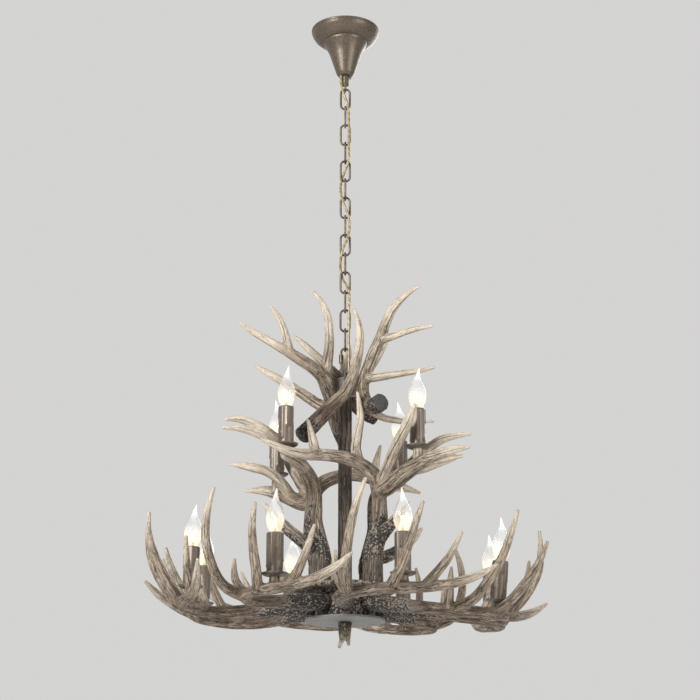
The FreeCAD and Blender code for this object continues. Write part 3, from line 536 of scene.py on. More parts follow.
def carve(mesh, near, pearled, seed, stub_number, tone_and_painted_shade, bare_span):
    """Furrows, lumps and pearls in the surface, and what the stain needs to know of them. Over the lengths
    of bare_span the pearls give way to patches of furrowed resin."""
    points = vertices_of(mesh)
    radius, join = near["radius"], near["join"]
    along, angle, reach = near["along"], near["angle"], near["reach"]
    furrow = grooves(angle, along, radius, seed) * (1 - 0.75 * join) * (1 - near["sawn"])
    pearl = root = np.zeros(len(points))
    for number, (start, end) in pearled.items():
        mine = near["branch"] == number
        pearl = np.where(mine, 1 - ease(along, start, end), pearl)
        root = np.where(mine, 1 - ease(along, end, end + 55), root)
    patch = noise(points / 19 + seed)
    warp = columns(*[noise(points / 8 + 5 * i) for i in range(3)])
    grain = columns(along, reach * np.cos(angle), reach * np.sin(angle))
    bare = ease(noise(grain / (42, 11, 11) + 2.3 * seed) + 0.25 * (patch - 0.5), 0.44, 0.6)
    pearl = np.clip(pearl * (0.5 + patch) * (1 - bare * ease(along, *bare_span)), 0, 1) * (1 - near["sawn"])
    lump = nodules(grain / (4.8, 2.4, 2.4) + 1.2 * warp + near["branch"][:, None])
    coarse = noise(points / 26 + 3 * seed)
    stub = near["branch"] >= stub_number
    depth = (0.3 + 0.068 * radius) * ease(radius, 2.5, 8) * (1 - 0.6 * pearl)
    depth = np.where(stub, 0.3, depth)
    push(mesh, -depth * furrow + (coarse - 0.8) * 0.07 * radius + pearl * (1.9 * lump - 0.9))
    # Paler where branches are thin, and a little darker where they meet: painted shade in the forks.
    tone = 0.3 + 0.7 * ease(radius, 17.5, 6) * (1 - 0.2 * join) + 0.3 * (patch - 0.5)
    # The whole casting's tone is shifted by one number; on the lower casting part of this darkening is
    # painted shade.
    tone = np.where(stub, 0.6, tone) + 0.2 * ease(near["share"], 0.6, 1) - tone_and_painted_shade - 0.14 * root
    store(mesh, tone=np.clip(tone, 0, 1), furrow=furrow, pearl=pearl, lump=lump, sawn=near["sawn"],
          grain=grain / 10 + near["branch"][:, None])


# Materials

class Nodes:
    """A node tree that is filled call by call."""

    def __init__(self, tree):
        self.tree = tree

    def add(self, kind, inputs=None, **settings):
        node = self.tree.nodes.new("ShaderNode" + kind)
        for key, value in settings.items():
            setattr(node, key, value)
        for key, value in (inputs or {}).items():
            self.put(node.inputs[key], value)
        return node

    def put(self, socket, value):
        if isinstance(value, bpy.types.NodeSocket):
            self.tree.links.new(value, socket)
        else:
            socket.default_value = value

    def math(self, operation, a, b):
        return self.add("Math", {0: a, 1: b}, operation=operation).outputs[0]

    def plus(self, a, b):
        return self.math("ADD", a, b)

    def times(self, a, b):
        return self.math("MULTIPLY", a, b)


class Paint(Nodes):
    """A material of nodes round one shader."""

    def __init__(self, name):
        self.material = bpy.data.materials.new(name)
        self.material.use_nodes = True
        super().__init__(self.material.node_tree)
        self.shader = self.tree.nodes["Principled BSDF"]

    def set(self, **inputs):
        for key, value in inputs.items():
            self.put(self.shader.inputs[key.replace("_", " ")], value)

    def stored(self, name, output="Fac"):
        return self.add("Attribute", attribute_name=name).outputs[output]

    def place(self, scale=(1, 1, 1), vector=None):
        vector = vector or self.add("TexCoord").outputs["Object"]
        return self.add("Mapping", {"Vector": vector, "Scale": scale}).outputs[0]

    def noise(self, scale, detail=4, roughness=0.55, vector=None):
        inputs = {"Vector": vector or self.place(), "Scale": scale, "Detail": detail, "Roughness": roughness}
        return self.add("TexNoise", inputs).outputs[0]

    def ramp(self, value, *stops):
        node = self.add("ValToRGB", {"Fac": value})
        elements = node.color_ramp.elements
        while len(elements) < len(stops):
            elements.new(0.5)
        for element, (position, colour) in zip(elements, stops):
            element.position = position
            element.color = (*colour, 1)
        return node.outputs["Color"]

    def fit(self, value, low, high, to_low=0, to_high=1):
        inputs = {"Value": value, "From Min": low, "From Max": high, "To Min": to_low, "To Max": to_high}
        return self.add("MapRange", inputs).outputs[0]

    def spread(self, value, to_low=0, to_high=1):
        """The usual range of a noise drawn out between two numbers."""
        return self.fit(value, 0.3, 0.7, to_low, to_high)

    def mix(self, factor, a, b):
        node = self.add("Mix", {"Factor": factor}, data_type="RGBA")
        for key, value in ((6, a), (7, b)):
            self.put(node.inputs[key], (*value, 1) if isinstance(value, tuple) else value)
        return node.outputs[2]

    def cover(self, colour, other, value, low, high, share):
        """A colour with another over it, whose share grows as the value goes from low to high."""
        return self.mix(self.fit(value, low, high, 0, share), colour, other)

    def bump(self, height, strength, distance):
        node = self.add("Bump", {"Height": height, "Strength": strength, "Distance": distance})
        self.set(Normal=node.outputs["Normal"])


def resin(name, pale, middle, dark, stain, pearl_low, pearl_high):
    """Stained antler resin: pale where it is thin, brown wash in the furrows, fine dark cracks along the
    grain, and dark pearled bark near the roots. Thin tines are polished."""
    paint = Paint(name)
    grain = paint.stored("grain", "Vector")
    fibre = paint.noise(2.2, 5, 0.62, paint.place((0.2, 2.1, 2.1), grain))
    streak = paint.noise(1.1, 3, 0.5, paint.place((0.1, 1.5, 1.5), grain))
    vein = paint.noise(2, 2, 0.5, paint.place((0.17, 1.9, 1.9), grain))
    patch = paint.noise(26, 3)
    speck = paint.noise(420, 2)
    thin = paint.stored("tone")
    tone = paint.plus(thin, paint.spread(patch, -0.2, 0.2))
    tone = paint.plus(tone, paint.spread(streak, 0.22, -0.22))
    colour = paint.ramp(tone, (0.04, dark), (0.42, middle), (0.95, pale))
    wash = paint.times(paint.fit(fibre, 0.46, 0.62, 0, 0.85), paint.fit(thin, 0.4, 1, 1, 0.12))
    wash = paint.math("MAXIMUM", wash, paint.fit(paint.stored("furrow"), 0.1, 0.55, 0, 0.92))
    colour = paint.mix(wash, colour, stain)
    off_line = paint.math("ABSOLUTE", paint.math("SUBTRACT", vein, 0.5), 0)
    crack = paint.times(paint.fit(off_line, 0.022, 0.05, 1, 0), paint.fit(patch, 0.38, 0.46))
    crack = paint.times(crack, paint.fit(thin, 0.3, 0.95, 1, 0.4))
    colour = paint.mix(crack, colour, tuple(0.35 * c for c in stain))
    pearl = paint.stored("pearl")
    colour = paint.cover(colour, pearl_high, pearl, 0.1, 0.9, 0.9)
    gap = paint.math("SUBTRACT", paint.times(pearl, 0.43), paint.stored("lump"))
    gap = paint.plus(gap, paint.spread(fibre, -0.1, 0.1))
    gap = paint.times(paint.fit(gap, -0.02, 0.1, 0, 0.97), paint.fit(pearl, 0.02, 0.2))
    colour = paint.mix(gap, colour, pearl_low)
    polish = paint.fit(thin, 0.55, 1, 1, 0.25)
    colour = paint.mix(paint.times(paint.fit(speck, 0.35, 0.7, 0, 0.25), polish), colour, stain)
    rings = paint.ramp(speck, (0.35, (0.05, 0.049, 0.048)), (0.65, (0.12, 0.117, 0.113)))
    colour = paint.mix(paint.stored("sawn"), colour, rings)
    paint.set(Base_Color=colour, Roughness=paint.spread(fibre, 0.55, 0.7), Specular_IOR_Level=0.35)
    height = paint.plus(paint.spread(fibre, 1, 0), paint.spread(speck, 0, 0.3))
    paint.bump(paint.times(paint.math("SUBTRACT", height, crack), polish), 0.5, 0.0016)
    return paint.material


def satin_metal(name, base, light, dark, roughness, metallic, wear=38):
    """Antiqued metal paint: a soft sheen, fine light and dark flecks and cloudy wear."""
    paint = Paint(name)
    cloud = paint.noise(wear, 5, 0.6)
    fleck = paint.noise(620, 2)
    pit = paint.add("TexVoronoi", {"Vector": paint.place(), "Scale": 330}).outputs["Distance"]
    colour = paint.ramp(cloud, (0.3, dark), (0.5, base), (0.74, light))
    colour = paint.cover(colour, light, fleck, 0.5, 0.68, 0.5)
    colour = paint.mix(paint.fit(pit, 0.12, 0.3, 0.55, 0), colour, dark)
    paint.set(Base_Color=colour, Roughness=paint.spread(cloud, roughness - 0.07, roughness + 0.1))
    paint.set(Metallic=metallic)
    paint.bump(paint.plus(paint.spread(fleck), paint.fit(pit, 0, 0.3)), 0.16, 0.0005)
    return paint.material


def plain_metal(name, base, roughness):
    """Bare metal with fine drawn lines and small stains."""
    paint = Paint(name)
    line = paint.noise(60, 3, vector=paint.place((1, 1, 22)))
    stain = paint.noise(110)
    colour = paint.cover(base, tuple(0.5 * c for c in base), stain, 0.45, 0.75, 0.5)
    paint.set(Base_Color=colour, Roughness=paint.spread(line, roughness - 0.08, roughness + 0.12))
    paint.set(Metallic=1)
    paint.bump(line, 0.12, 0.0004)
    return paint.material


def candle_paint():
    """Taupe enamel run down the sleeve in glossy streaks."""
    paint = Paint("candle_enamel")
    streak = paint.noise(170, 4, 0.6, paint.place((1, 1, 0.07)))
    cloud = paint.noise(45)
    fleck = paint.noise(700, 2)
    colour = paint.ramp(streak, (0.3, (0.06, 0.043, 0.031)), (0.5, (0.118, 0.088, 0.064)),
                        (0.72, (0.21, 0.165, 0.126)))
    colour = paint.cover(colour, (0.09, 0.066, 0.047), cloud, 0.4, 0.75, 0.45)
    colour = paint.cover(colour, (0.3, 0.25, 0.2), fleck, 0.54, 0.7, 0.35)
    paint.set(Base_Color=colour, Roughness=paint.spread(streak, 0.46, 0.3))
    paint.set(Metallic=0.4, Coat_Weight=0.25, Coat_Roughness=0.3)
    paint.bump(paint.plus(streak, paint.spread(fleck, 0, 0.3)), 0.2, 0.0008)
    return paint.material


def holder_paint():
    """Off-white lamp holder with a little dust."""
    paint = Paint("holder_plastic")
    dust = paint.noise(160)
    colour = paint.cover((0.72, 0.69, 0.62), (0.5, 0.46, 0.4), dust, 0.4, 0.75, 0.6)
    paint.set(Base_Color=colour, Roughness=paint.spread(dust, 0.4, 0.6))
    paint.bump(dust, 0.1, 0.0004)
    return paint.material


def speckled_plate():
    """Grey stippled plate under the hub."""
    paint = Paint("stippled_grey")
    grit = paint.noise(520, 3, 0.7)
    cloud = paint.noise(30)
    colour = paint.ramp(grit, (0.36, (0.07, 0.067, 0.064)), (0.5, (0.17, 0.165, 0.157)),
                        (0.66, (0.34, 0.33, 0.315)))
    colour = paint.cover(colour, (0.1, 0.088, 0.076), cloud, 0.4, 0.75, 0.4)
    paint.set(Base_Color=colour, Roughness=paint.spread(grit, 0.7, 0.5))
    paint.bump(grit, 0.4, 0.001)
    return paint.material


def cord_sheath():
    """Clear gold cord: two leads show faintly as a slow twist inside."""
    paint = Paint("gold_cord")
    inputs = {"Vector": paint.place(), "Scale": 46, "Distortion": 1.5, "Detail": 2}
    wave = paint.add("TexWave", inputs, wave_type="BANDS", bands_direction="DIAGONAL")
    twist = wave.outputs["Fac"]
    cloud = paint.noise(240, 3)
    colour = paint.ramp(twist, (0.1, (0.2, 0.145, 0.055)), (0.55, (0.29, 0.22, 0.095)),
                        (0.95, (0.36, 0.285, 0.15)))
    colour = paint.cover(colour, (0.2, 0.145, 0.06), cloud, 0.45, 0.75, 0.35)
    paint.set(Base_Color=colour, Roughness=paint.spread(cloud, 0.22, 0.34))
    paint.set(Coat_Weight=0.4, Coat_Roughness=0.15)
    paint.bump(twist, 0.1, 0.0004)
    return paint.material


def bulb_glass():
    """Clear blown glass that glows where the filament is near, and a little in its drawn tail."""
    paint = Paint("bulb_glass")
    ripple = paint.noise(55, 2, vector=paint.place((1, 1, 0.4)))
    glow = paint.stored("glow")
    colour = paint.ramp(glow, (0, (0.93, 0.95, 0.97)), (1, (1, 0.95, 0.86)))
    light = paint.ramp(glow, (0, (1, 0.93, 0.84)), (0.6, (1, 0.93, 0.8)), (1, (1, 0.88, 0.66)))
    paint.set(Base_Color=colour, Emission_Color=light, Roughness=paint.spread(ripple, 0.03, 0.09))
    tail = paint.fit(paint.stored("tail"), 0, 1, 0, 0.16)
    paint.set(Emission_Strength=paint.plus(paint.fit(glow, 0, 1, 0.035, 0.17), tail))
    paint.set(Transmission_Weight=0.95, IOR=1.42)
    paint.bump(ripple, 0.06, 0.001)
    return paint.material


def glowing_wire():
    """The filament, hotter in its middle."""
    paint = Paint("filament")
    heat = paint.stored("glow")
    colour = paint.ramp(heat, (0, (1, 0.5, 0.16)), (1, (1, 0.82, 0.5)))
    strength = paint.fit(heat, 0, 1, 2, 7)
    paint.set(Base_Color=colour, Emission_Color=colour, Emission_Strength=strength)
    return paint.material


BONE = resin("antler_resin", (0.66, 0.57, 0.455), (0.4, 0.318, 0.236), (0.16, 0.118, 0.085),
             (0.05, 0.034, 0.023), (0.022, 0.018, 0.0145), (0.36, 0.31, 0.26))
BARK = resin("bark_resin", (0.34, 0.265, 0.21), (0.22, 0.17, 0.133), (0.12, 0.092, 0.073),
             (0.055, 0.042, 0.033), (0.02, 0.017, 0.015), (0.3, 0.27, 0.24))
SOCKET = resin("socket_resin", (0.3, 0.24, 0.19), (0.21, 0.165, 0.125), (0.13, 0.1, 0.077),
               (0.04, 0.03, 0.022), (0.03, 0.025, 0.02), (0.3, 0.27, 0.24))
BRONZE = satin_metal("antique_bronze", (0.118, 0.091, 0.068), (0.18, 0.146, 0.113), (0.074, 0.057, 0.042),
                     0.34, 0.55, wear=330)
CHAIN = satin_metal("chain_bronze", (0.12, 0.092, 0.066), (0.24, 0.19, 0.145), (0.045, 0.033, 0.024),
                    0.42, 0.7)
TAUPE = satin_metal("pan_taupe", (0.15, 0.12, 0.093), (0.24, 0.2, 0.16), (0.08, 0.062, 0.047), 0.45, 0.35)
GREY = satin_metal("cap_grey", (0.11, 0.103, 0.096), (0.18, 0.17, 0.158), (0.055, 0.05, 0.045), 0.55, 0.3)
STEEL = plain_metal("bright_steel", (0.62, 0.6, 0.57), 0.3)
BRASS = plain_metal("cap_brass", (0.62, 0.5, 0.28), 0.34)
CANDLE = candle_paint()
HOLDER = holder_paint()
PLATE = speckled_plate()
SHEATH = cord_sheath()
GLASS = bulb_glass()
FILAMENT = glowing_wire()


def dress(obj, body, material, slot, *replaced):
    """Puts a finished piece on its body with its material, in place of CAD nodes."""
    obj.data.materials.append(material)
    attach(obj, body)
    if replaced:
        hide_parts(*replaced)


def repaint(material, *names):
    """A better material on CAD nodes whose shape is right."""
    for name in names:
        nodes[name].data.materials.clear()
        nodes[name].data.materials.append(material)


def set_piece(mesh, name, place, *dressing):
    """A mesh moved to its place, given in millimetres, and dressed."""
    move = place.copy()
    move.translation *= MM
    mesh.transform(move)
    dress(linked(name, mesh), *dressing)


def at_height(z):
    return Matrix.Translation((0, 0, z))


def turn_z(degrees):
    return Matrix.Rotation(math.radians(degrees), 4, "Z")


def lower_place(azimuth, sag):
    """A lower casting's place, in millimetres: turned about the column and tipped about its seat."""
    seat = Vector((DRUM_R, 0, LOWER_SEAT))
    tip = Matrix.Translation(seat) @ Matrix.Rotation(math.radians(sag), 4, "Y") @ Matrix.Translation(-seat)
    return at_height(HUB) @ turn_z(azimuth - 90) @ tip


def lamp_places():
    """Where each lamp stands: the top of its boss, the lower ring first and turned to bend inwards."""
    seat = Matrix.Translation((LOWER_RING, 0, LOWER_PAN)) @ turn_z(180)
    places = [lower_place(azimuth, sag) @ seat for azimuth, sag in LOWER_ANTLERS]
    for _, (x, y), turn in MID_ANTLERS:
        places.append(at_height(HUB) @ turn_z(turn) @ Matrix.Translation((x, y, MID_PAN)))
    return places


# Antlers

def antler(mesh, node, place):
    """A finished casting in place of its CAD node."""
    set_piece(mesh, node + "_resin", place, "chandelier", BONE, "antler", node)


def top_antlers():
    for number, branches in enumerate(TOP_ANTLERS, start=1):
        node = "top_antler_%d" % number
        mesh = antler_mesh(node, branches, {0: (10, 75)}, 1.7 * number, sawn=number == 1)
        antler(mesh, node, at_height(EYE))


def mid_antlers():
    for number, (branches, (x, y), turn) in enumerate(MID_ANTLERS, start=1):
        node = "mid_antler_%d" % number
        knob = branches.index(RIGHT_KNOB if number % 2 else LEFT_KNOB)
        arm = min(sum(branches, []), key=lambda point: math.hypot(point[0] - x, point[1] - y))
        stub = boss_branch(x, y, arm[2], MID_PAN)
        pearled = {0: (75, 175), knob: (60, 120)}
        mesh = antler_mesh(node, branches, pearled, 0.9 + number, [stub], tone_and_painted_shade=-0.1)
        antler(mesh, node, at_height(HUB) @ turn_z(turn))


def lower_antlers():
    stub = boss_branch(LOWER_RING, 0, LOWER_ARM, LOWER_PAN)
    # The lower casting is stained darker, partly as painted shade for a tier that the light from above
    # reaches less.
    casting = antler_mesh("lower_casting", LOWER_BRANCHES, {0: (60, 190)}, 2.3, [stub], tone_and_painted_shade=0.34,
                          bare_span=(80, 180))
    for number, place in enumerate(LOWER_ANTLERS, start=1):
        antler(casting.copy(), "lower_antler_%d" % number, lower_place(*place))


# Column, hub and finial

def bark_tube(name, radius, foot, top, ribs, depth, seed, lean=0.0, shoulder=0.0):
    """A closed upright casting with irregular ribs round it, its stain and grain stored."""
    heights = np.linspace(foot, top, max(8, int((top - foot) / 3)))
    radii = radius - lean * (heights - foot) / (top - foot)
    if shoulder:
        radii = radii - shoulder * ease(heights, top - 1.4 * shoulder, top) ** 2
    obj = new_object(name, tube(columns(0, 0, heights), radii, 120), merge=False)
    points = vertices_of(obj.data)
    x, y, z = points.T
    angle = np.arctan2(y, x)
    along = z - foot
    wander = 0.35 * np.sin(along / 48 + seed) + 0.22 * np.sin(along / 17 + 2 * seed)
    line = np.abs(np.sin((ribs * angle + wander * 3) / 2))
    uneven = noise(columns(along / 30, np.cos(angle) * 3, seed + np.sin(angle) * 3))
    furrow = np.exp(-((line / 0.42) ** 2)) * (0.55 + 0.45 * uneven)
    patch = noise(points / 17 + seed)
    rim = np.hypot(x, y) > 0.5 * radius
    inward = np.where(rim, (depth * furrow + 0.7 * patch) / radius, 0)
    shift(obj.data, -points * columns(inward, inward, 0))
    grain = columns(along / 10, np.cos(angle) * radius / 10, np.sin(angle) * radius / 10)
    zero = np.zeros(len(points))
    store(obj.data, tone=0.3 + 0.5 * (patch - 0.3), furrow=furrow, pearl=zero, lump=zero, grain=grain)
    return obj


def pearled_drum():
    """The hub's drum and disc, covered with dark pearls and bark."""
    foot = HUB_FOOT - HUB
    outline = [(0, foot), (DRUM_R - 3, foot), (DRUM_R - 0.8, foot + 2), (DRUM_R - 0.8, -DISC_T - 2),
               (DRUM_R + 2, -DISC_T), (DISC_R - 4, -DISC_T), (DISC_R - 1, -DISC_T + 3), (DISC_R - 1, -3),
               (DISC_R - 4, -0.4), (0, -0.4)]
    runs = []
    for start, end in zip(outline, outline[1:]):
        count = max(1, int(math.dist(start, end) / 2.2))
        runs.append(np.linspace(start, end, count, endpoint=False))
    obj = new_object("hub_drum", lathe(np.vstack([*runs, outline[-1:]]), 240))
    points = vertices_of(obj.data)
    x, y, z = points.T
    angle = np.arctan2(y, x)
    lump = nodules(points / 5.0)
    patch = noise(points / 15)
    furrow = grooves(2 * angle, z * 2 + 40, 0.5 * DRUM_R, 4.1)
    outside = ease(np.hypot(x, y), DRUM_R - 8, DRUM_R - 2)
    push(obj.data, outside * (1.5 * lump - 1.5 - 0.8 * furrow))
    grain = columns(z / 10, np.cos(angle) * 6, np.sin(angle) * 6)
    pearl = np.clip(0.45 + 0.8 * (patch - 0.3), 0, 1)
    store(obj.data, tone=0.25 + 0.4 * (patch - 0.4), furrow=furrow * 0.7, pearl=pearl, lump=lump, grain=grain)
    obj.location.z = HUB * MM
    return obj


def hub():
    dress(pearled_drum(), "chandelier", BONE, "bark", "hub")
    for number, (branches, _, turn) in enumerate(MID_ANTLERS, start=1):
        name = "hub_socket_%d" % number
        socket = bark_tube(name, SOCKET_R, -3, SOCKET_H, 26, 2.0, number, lean=1.0, shoulder=6)
        x, y = branches[0][1][:2]
        socket.location = at_height(HUB) @ turn_z(turn) @ Vector((x, y, 0)) * MM
        dress(socket, "chandelier", SOCKET, "bark")
    repaint(PLATE, "hub_plate")


def column():
    obj = bark_tube("column_bark", COLUMN_R, 0, CAP_FOOT - HUB, 9, 1.7, 2.6)
    obj.location.z = HUB * MM
    dress(obj, "chandelier", BARK, "bark", "column_sleeve")
    repaint(GREY, "column_cap")
    repaint(STEEL, "column_rod", "antler_bolts")


def finial():
    """A barked stub that forks into two prongs."""
    stub = [(0, 0, -0.3, 15.6), (0, 0, -6, 14.6), (0, 0, -11, 13), (0, 0, -15, 9)]
    mesh = antler_mesh("finial_mesh", [stub, *FORK], {0: (12, 20)}, 5.2, tone_and_painted_shade=0.5)
    set_piece(mesh, "finial_resin", at_height(PLATE_FOOT), "chandelier", BONE, "bark", "bottom_finial")


# Lamps

def pan_form():
    """A dished pan with a rolled edge."""
    dish = smooth([(11, 0.02), (16, 0.3), (20.6, 1.6), (23.6, 3.7), (24.9, 5.7)], 0.8)
    lip = [(24.6, 6.0), (24.0, 5.9)]
    bowl = smooth([(23.4, 5.0), (21.6, 3.7), (19, 3.08)], 0.8)
    return lathe([(0, 0.02), *dish, *lip, *bowl, (0, PAN_FLOOR)], 56)


def candle_form():
    """A sleeve with runs of enamel down its outside."""
    top = PAN_FLOOR + CANDLE_H
    outer = [(CANDLE_R, z) for z in np.linspace(PAN_FLOOR, top - 2.5, 52)]
    lip = [(CANDLE_R - 0.3, top - 1.2), (CANDLE_R - 0.9, top - 0.3), (CANDLE_R - 1.7, top - 0.1),
           (CANDLE_R - 2.4, top - 0.9)]
    inner = [(CANDLE_R - 2.6, top - 4), (CANDLE_R - 2.6, PAN_FLOOR)]
    v, f = lathe(outer + lip + inner + outer[:1], 96)
    x, y, z = v.T
    angle, radius, drop = np.arctan2(y, x), np.hypot(x, y), top - z
    runs = np.zeros(len(v))
    for i in range(11):
        turn = math.tau * (i + 0.6 * math.sin(5 * i)) / 11
        reach = 26 + 44 * abs(math.sin(2.3 * i + 0.4))
        width = 0.13 + 0.07 * abs(math.sin(3.1 * i))
        off = np.abs((angle - turn + math.pi) % math.tau - math.pi)
        bead = 1 + 0.7 * np.exp(-(((drop - reach + 4) / 4) ** 2))
        runs = np.maximum(runs, np.exp(-((off / width) ** 2)) * ease(drop, reach, reach - 6) * bead)
    drawn = np.where(radius > CANDLE_R - 1.8, -1.6 + 0.98 * np.clip(runs, 0, 1.6), 0)
    scale = 1 + drawn / np.maximum(radius, 1)
    return v * columns(scale, scale, 1), f


def lamp_set(name, form, turn, material, slot, node):
    """One form at every lamp, each turned further than the last, as one piece."""
    v, f = form
    parts = []
    for i, place in enumerate(lamp_places()):
        m = np.array(place @ turn_z(turn * i))
        parts.append((v @ m[:3, :3].T + m[:3, 3], f))
    dress(new_object(name, joined(parts)), "chandelier", material, slot, node)


def pans_and_candles():
    lamp_set("drip_pan_set", pan_form(), 37, TAUPE, "pan", "drip_pans")
    lamp_set("candle_set", candle_form(), 71, CANDLE, "candle", "candle_sleeves")
    repaint(HOLDER, "lamp_holders")


def glass_mesh():
    """A flame-shaped envelope with a drawn, bent tip and a thin wall."""
    form = smooth([(0, 0.38), (0.03, 0.42), (0.08, 0.54), (0.16, 0.75), (0.27, 0.94), (0.37, 0.995),
                   (0.47, 0.94), (0.6, 0.7), (0.72, 0.42), (0.83, 0.215), (0.92, 0.12), (0.985, 0.06)], 0.012)
    level, girth = form.T
    height = BULB_NECK + BULB_H * level
    outer = columns(BULB_R * girth, height)
    inner = columns(np.maximum(BULB_R * girth - 0.7, 0.3), height)[level < 0.955]
    v, f = lathe([(0, BULB_NECK + BULB_H * 0.962), *inner[::-1], *outer, (0, BULB_NECK + BULB_H * 0.99)], 48)
    v[:, 0] += np.interp(v[:, 2], height, 5.0 * np.clip(level - 0.6, 0, 1) ** 2 / 0.16)
    mesh = new_mesh("bulb_glass", (v, f))
    level = (vertices_of(mesh)[:, 2] - BULB_NECK) / BULB_H
    store(mesh, glow=np.exp(-(((level - 0.2) / 0.24) ** 2)), tail=ease(level, 0.62, 0.9))
    return mesh


def filament_mesh():
    """A looped wire on two posts."""
    foot = BULB_NECK + 2
    arch = [(-4.2, 0, foot + 16), (-4.6, 0.6, foot + 26), (-2.6, 1.4, foot + 35), (0, -0.6, foot + 31),
            (2.6, 1.4, foot + 35), (4.6, 0.6, foot + 26), (4.2, 0, foot + 16)]
    mesh = new_mesh("filament", wire(smooth(arch, 0.8), 0.42, 8), merge=False)
    store(mesh, glow=ease(vertices_of(mesh)[:, 2], foot + 16, foot + 30))
    return mesh


def mount_mesh():
    """The metal screw cap, and the glass stem and posts that carry the filament."""
    neck = BULB_NECK
    foot = neck - 28
    step = np.arange(61)
    thread = columns(6.35 + 0.4 * np.sin(math.tau * step / 10), foot + 7 + 17 * step / 60)
    cap = lathe([(0, foot), (3.2, foot + 0.1), (3.6, foot + 2), (5.4, foot + 5), *thread,
                 (6.7, neck - 1.5), (6.5, neck - 0.1), (0, neck - 0.1)], 40)
    stem = lathe([(0, neck + 0.1), (4.6, neck + 0.2), (2.6, neck + 5), (2.3, neck + 11), (3.0, neck + 14),
                  (1.2, neck + 16), (0, neck + 16.3)], 24)
    posts = []
    for side in (-1, 1):
        post = [(side * 1.2, 0, neck + 13), (side * 2.6, 0, neck + 16), (side * 4.2, 0, neck + 18.6)]
        posts.append(wire(smooth(post, 1), 0.34, 8))
    return new_mesh("bulb_mount", joined([cap, stem, *posts]))


def bulbs():
    glass, mount, filament = glass_mesh(), mount_mesh(), filament_mesh()
    for number, place in enumerate(lamp_places(), start=1):
        node, body = "bulb_%02d" % number, "lamp_%02d" % number
        set_piece(glass.copy(), node + "_glass", place, body, GLASS, "bulb", node)
        set_piece(mount.copy(), node + "_cap", place, body, BRASS, "bulb")
        set_piece(filament.copy(), node + "_filament", place, body, FILAMENT, "bulb")


# Ceiling pieces, chain and cord

def canopy():
    """A bell that flares into a bowl, with a crease between them and a groove under its rim."""
    band = [(CANOPY_R - 0.9, -0.05), (CANOPY_R - 0.1, -0.9), (CANOPY_R - 0.1, -3.5), (CANOPY_R - 0.4, -3.9),
            (CANOPY_R - 1.5, -4.3), (CANOPY_R - 1.5, -5.6)]
    bowl = smooth([(CANOPY_R - 0.5, -6.2), (71.2, -12), (66, -20), (57.4, -27), (49.6, -29.9)], 1.5)
    bead = [(48.4, -29.6), (47.7, -29.8), (47.3, -30.6), (47.0, -32.2)]
    bell = smooth([(46.2, -34.4), (43.4, -38.6), (39.2, -46.6), (34.6, -57), (30.6, -69), (25.2, -86),
                   (21, -99), (18.4, -105.6), (14.6, -109.6)], 1.5)
    inner = [(5.3, -109.9), (5.3, -108.8), (14, -108.4), (17, -105), (23.8, -86), (29.2, -69), (33.2, -57),
             (37.8, -46.6), (42, -38.4), (45.4, -32.4), (47.6, -28.6), (56.6, -25.6), (64.6, -19.2),
             (69.6, -11.2), (CANOPY_R - 2.2, -5.6), (CANOPY_R - 2.2, -0.05)]
    shell = new_object("canopy_bell", lathe([*band, *bowl, *bead, *bell, *inner, band[0]], 112))
    dress(shell, "ceiling_set", BRONZE, "bronze", "canopy")
    x, y = CORD_EXIT
    angle = np.linspace(0, math.tau, 40)
    ring = columns(x + 3.7 * np.cos(angle), y + 3.7 * np.sin(angle), -CANOPY_H - 0.2)
    dress(new_object("cord_grommet", wire(ring, 0.85, 12)), "ceiling_set", CHAIN, "bronze")
    repaint(STEEL, "ceiling_bracket", "hanger_stem", "set_screws")
    repaint(BRONZE, "canopy_loop")


def chain():
    links = [name for name in nodes if name.startswith("chain_link")]
    repaint(CHAIN, *links, "quick_link", "quick_link_sleeve")


def cord_line():
    """The cord's smooth line: the route's points pull one spline along."""
    curve = bpy.data.curves.new("cord_route", "CURVE")
    curve.dimensions = "3D"
    spline = curve.splines.new("NURBS")
    spline.points.add(len(CORD_ROUTE) - 1)
    for point, place in zip(spline.points, CORD_ROUTE):
        point.co = (*place, 1)
    spline.order_u = 3
    spline.use_endpoint_u = True
    spline.resolution_u = 14
    mesh = evaluated(linked("cord_route", curve))
    return np.array([v.co for v in mesh.vertices], float)


def domed_tube(line, radius):
    """A round tube whose two ends are half balls."""
    head = unit(line[0] - line[1])
    tail = unit(line[-1] - line[-2])
    lean = np.radians((25, 50, 70, 84))
    reach = radius * np.sin(lean)[:, None]
    centres = np.vstack([(line[0] + reach * head)[::-1], line, line[-1] + reach * tail])
    ends = radius * np.cos(lean)
    return tube(centres, np.concatenate([ends[::-1], np.full(len(line), radius), ends]), 16)


def cord():
    """One span for each body that the cord passes. The spans meet at the joints, round end inside round
    end, so the cord stays closed when the chain swings."""
    line = cord_line()
    hinges = [j for j in frame["joints"] if j["type"] == "hinge"]
    levels = [line[0, 2], *[j["pos_m"][2] / MM for j in hinges], line[-1, 2]]
    bodies = [hinges[0]["parent"], *[j["child"] for j in hinges]]
    for number, (body, high, low) in enumerate(zip(bodies, levels, levels[1:]), start=1):
        heights = np.linspace(high, low, max(8, int((high - low) / 2.5)))
        run = columns(*[np.interp(-heights, -line[:, 2], across) for across in line.T])
        span = new_object("cord_span_%02d" % number, domed_tube(run, CORD_R), merge=False)
        dress(span, body, SHEATH, "cord", *(["supply_cord"] if number == 1 else []))


# Studio

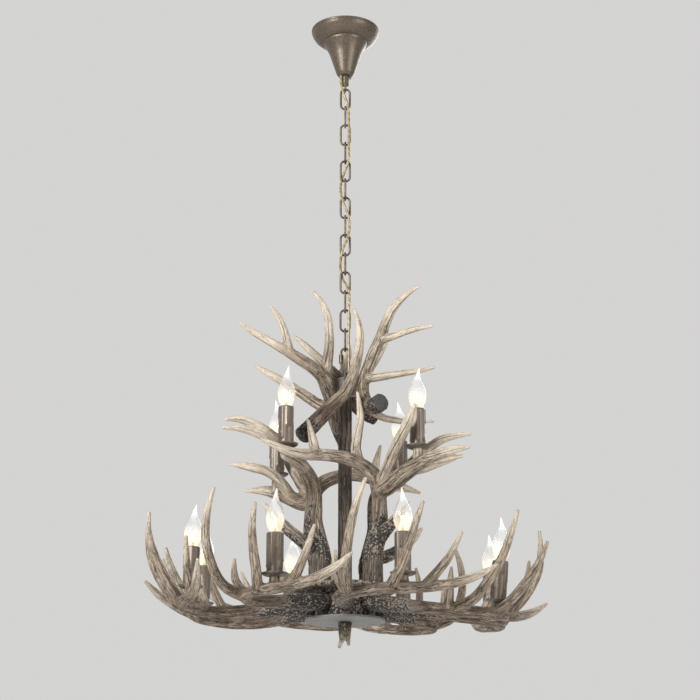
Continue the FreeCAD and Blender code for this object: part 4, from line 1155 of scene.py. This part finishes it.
def studio_floor():
    bpy.ops.mesh.primitive_circle_add(vertices=96, radius=FLOOR_R, fill_type="NGON", location=(0, 0, FLOOR_Z))
    floor = bpy.context.object
    floor.name = "floor"
    paint = Paint("floor_paint")
    colour = paint.ramp(paint.noise(3), (0.3, (0.77, 0.765, 0.755)), (0.7, (0.8, 0.795, 0.785)))
    paint.set(Base_Color=colour, Roughness=0.8, Emission_Color=colour, Emission_Strength=0.3)
    floor.data.materials.append(paint.material)


def studio_world():
    """Soft light all round, and pale grey for rays from the camera, a reflection or the glass."""
    world = bpy.data.worlds.new("studio")
    bpy.context.scene.world = world
    world.use_nodes = True
    sky = Nodes(world.node_tree)
    light = sky.tree.nodes["Background"]
    sky.put(light.inputs["Color"], (1.0, 0.985, 0.96, 1))
    sky.put(light.inputs["Strength"], 0.28)
    seen = sky.add("Background", {"Color": (0.66, 0.655, 0.645, 1)})
    ray = sky.add("LightPath").outputs
    looking = sky.math("MAXIMUM", ray["Is Camera Ray"], ray["Is Glossy Ray"])
    looking = sky.math("MAXIMUM", looking, ray["Is Transmission Ray"])
    both = sky.add("MixShader", {0: looking, 1: light.outputs[0], 2: seen.outputs[0]})
    sky.put(sky.tree.nodes["World Output"].inputs["Surface"], both.outputs[0])


def studio_lights():
    for name, place, energy, size in LIGHTS:
        lamp = bpy.data.lights.new(name, "AREA")
        lamp.energy = energy
        lamp.size = size
        obj = linked(name, lamp)
        obj.location = place
        obj.rotation_euler = (LIT_POINT - obj.location).to_track_quat("-Z", "Y").to_euler()
        obj.visible_camera = False
        obj.visible_transmission = False


def camera():
    data = bpy.data.cameras.new("camera")
    data.lens = LENS
    data.sensor_width = SENSOR
    obj = linked("camera", data)
    obj.location = CAMERA_PLACE
    obj.rotation_euler = (math.radians(90 + CAMERA_TILT), 0, 0)
    bpy.context.scene.camera = obj


bpy.context.scene.view_settings.view_transform = "Standard"
top_antlers()
mid_antlers()
lower_antlers()
hub()
column()
finial()
pans_and_candles()
bulbs()
canopy()
chain()
cord()
studio_floor()
studio_world()
studio_lights()
camera()
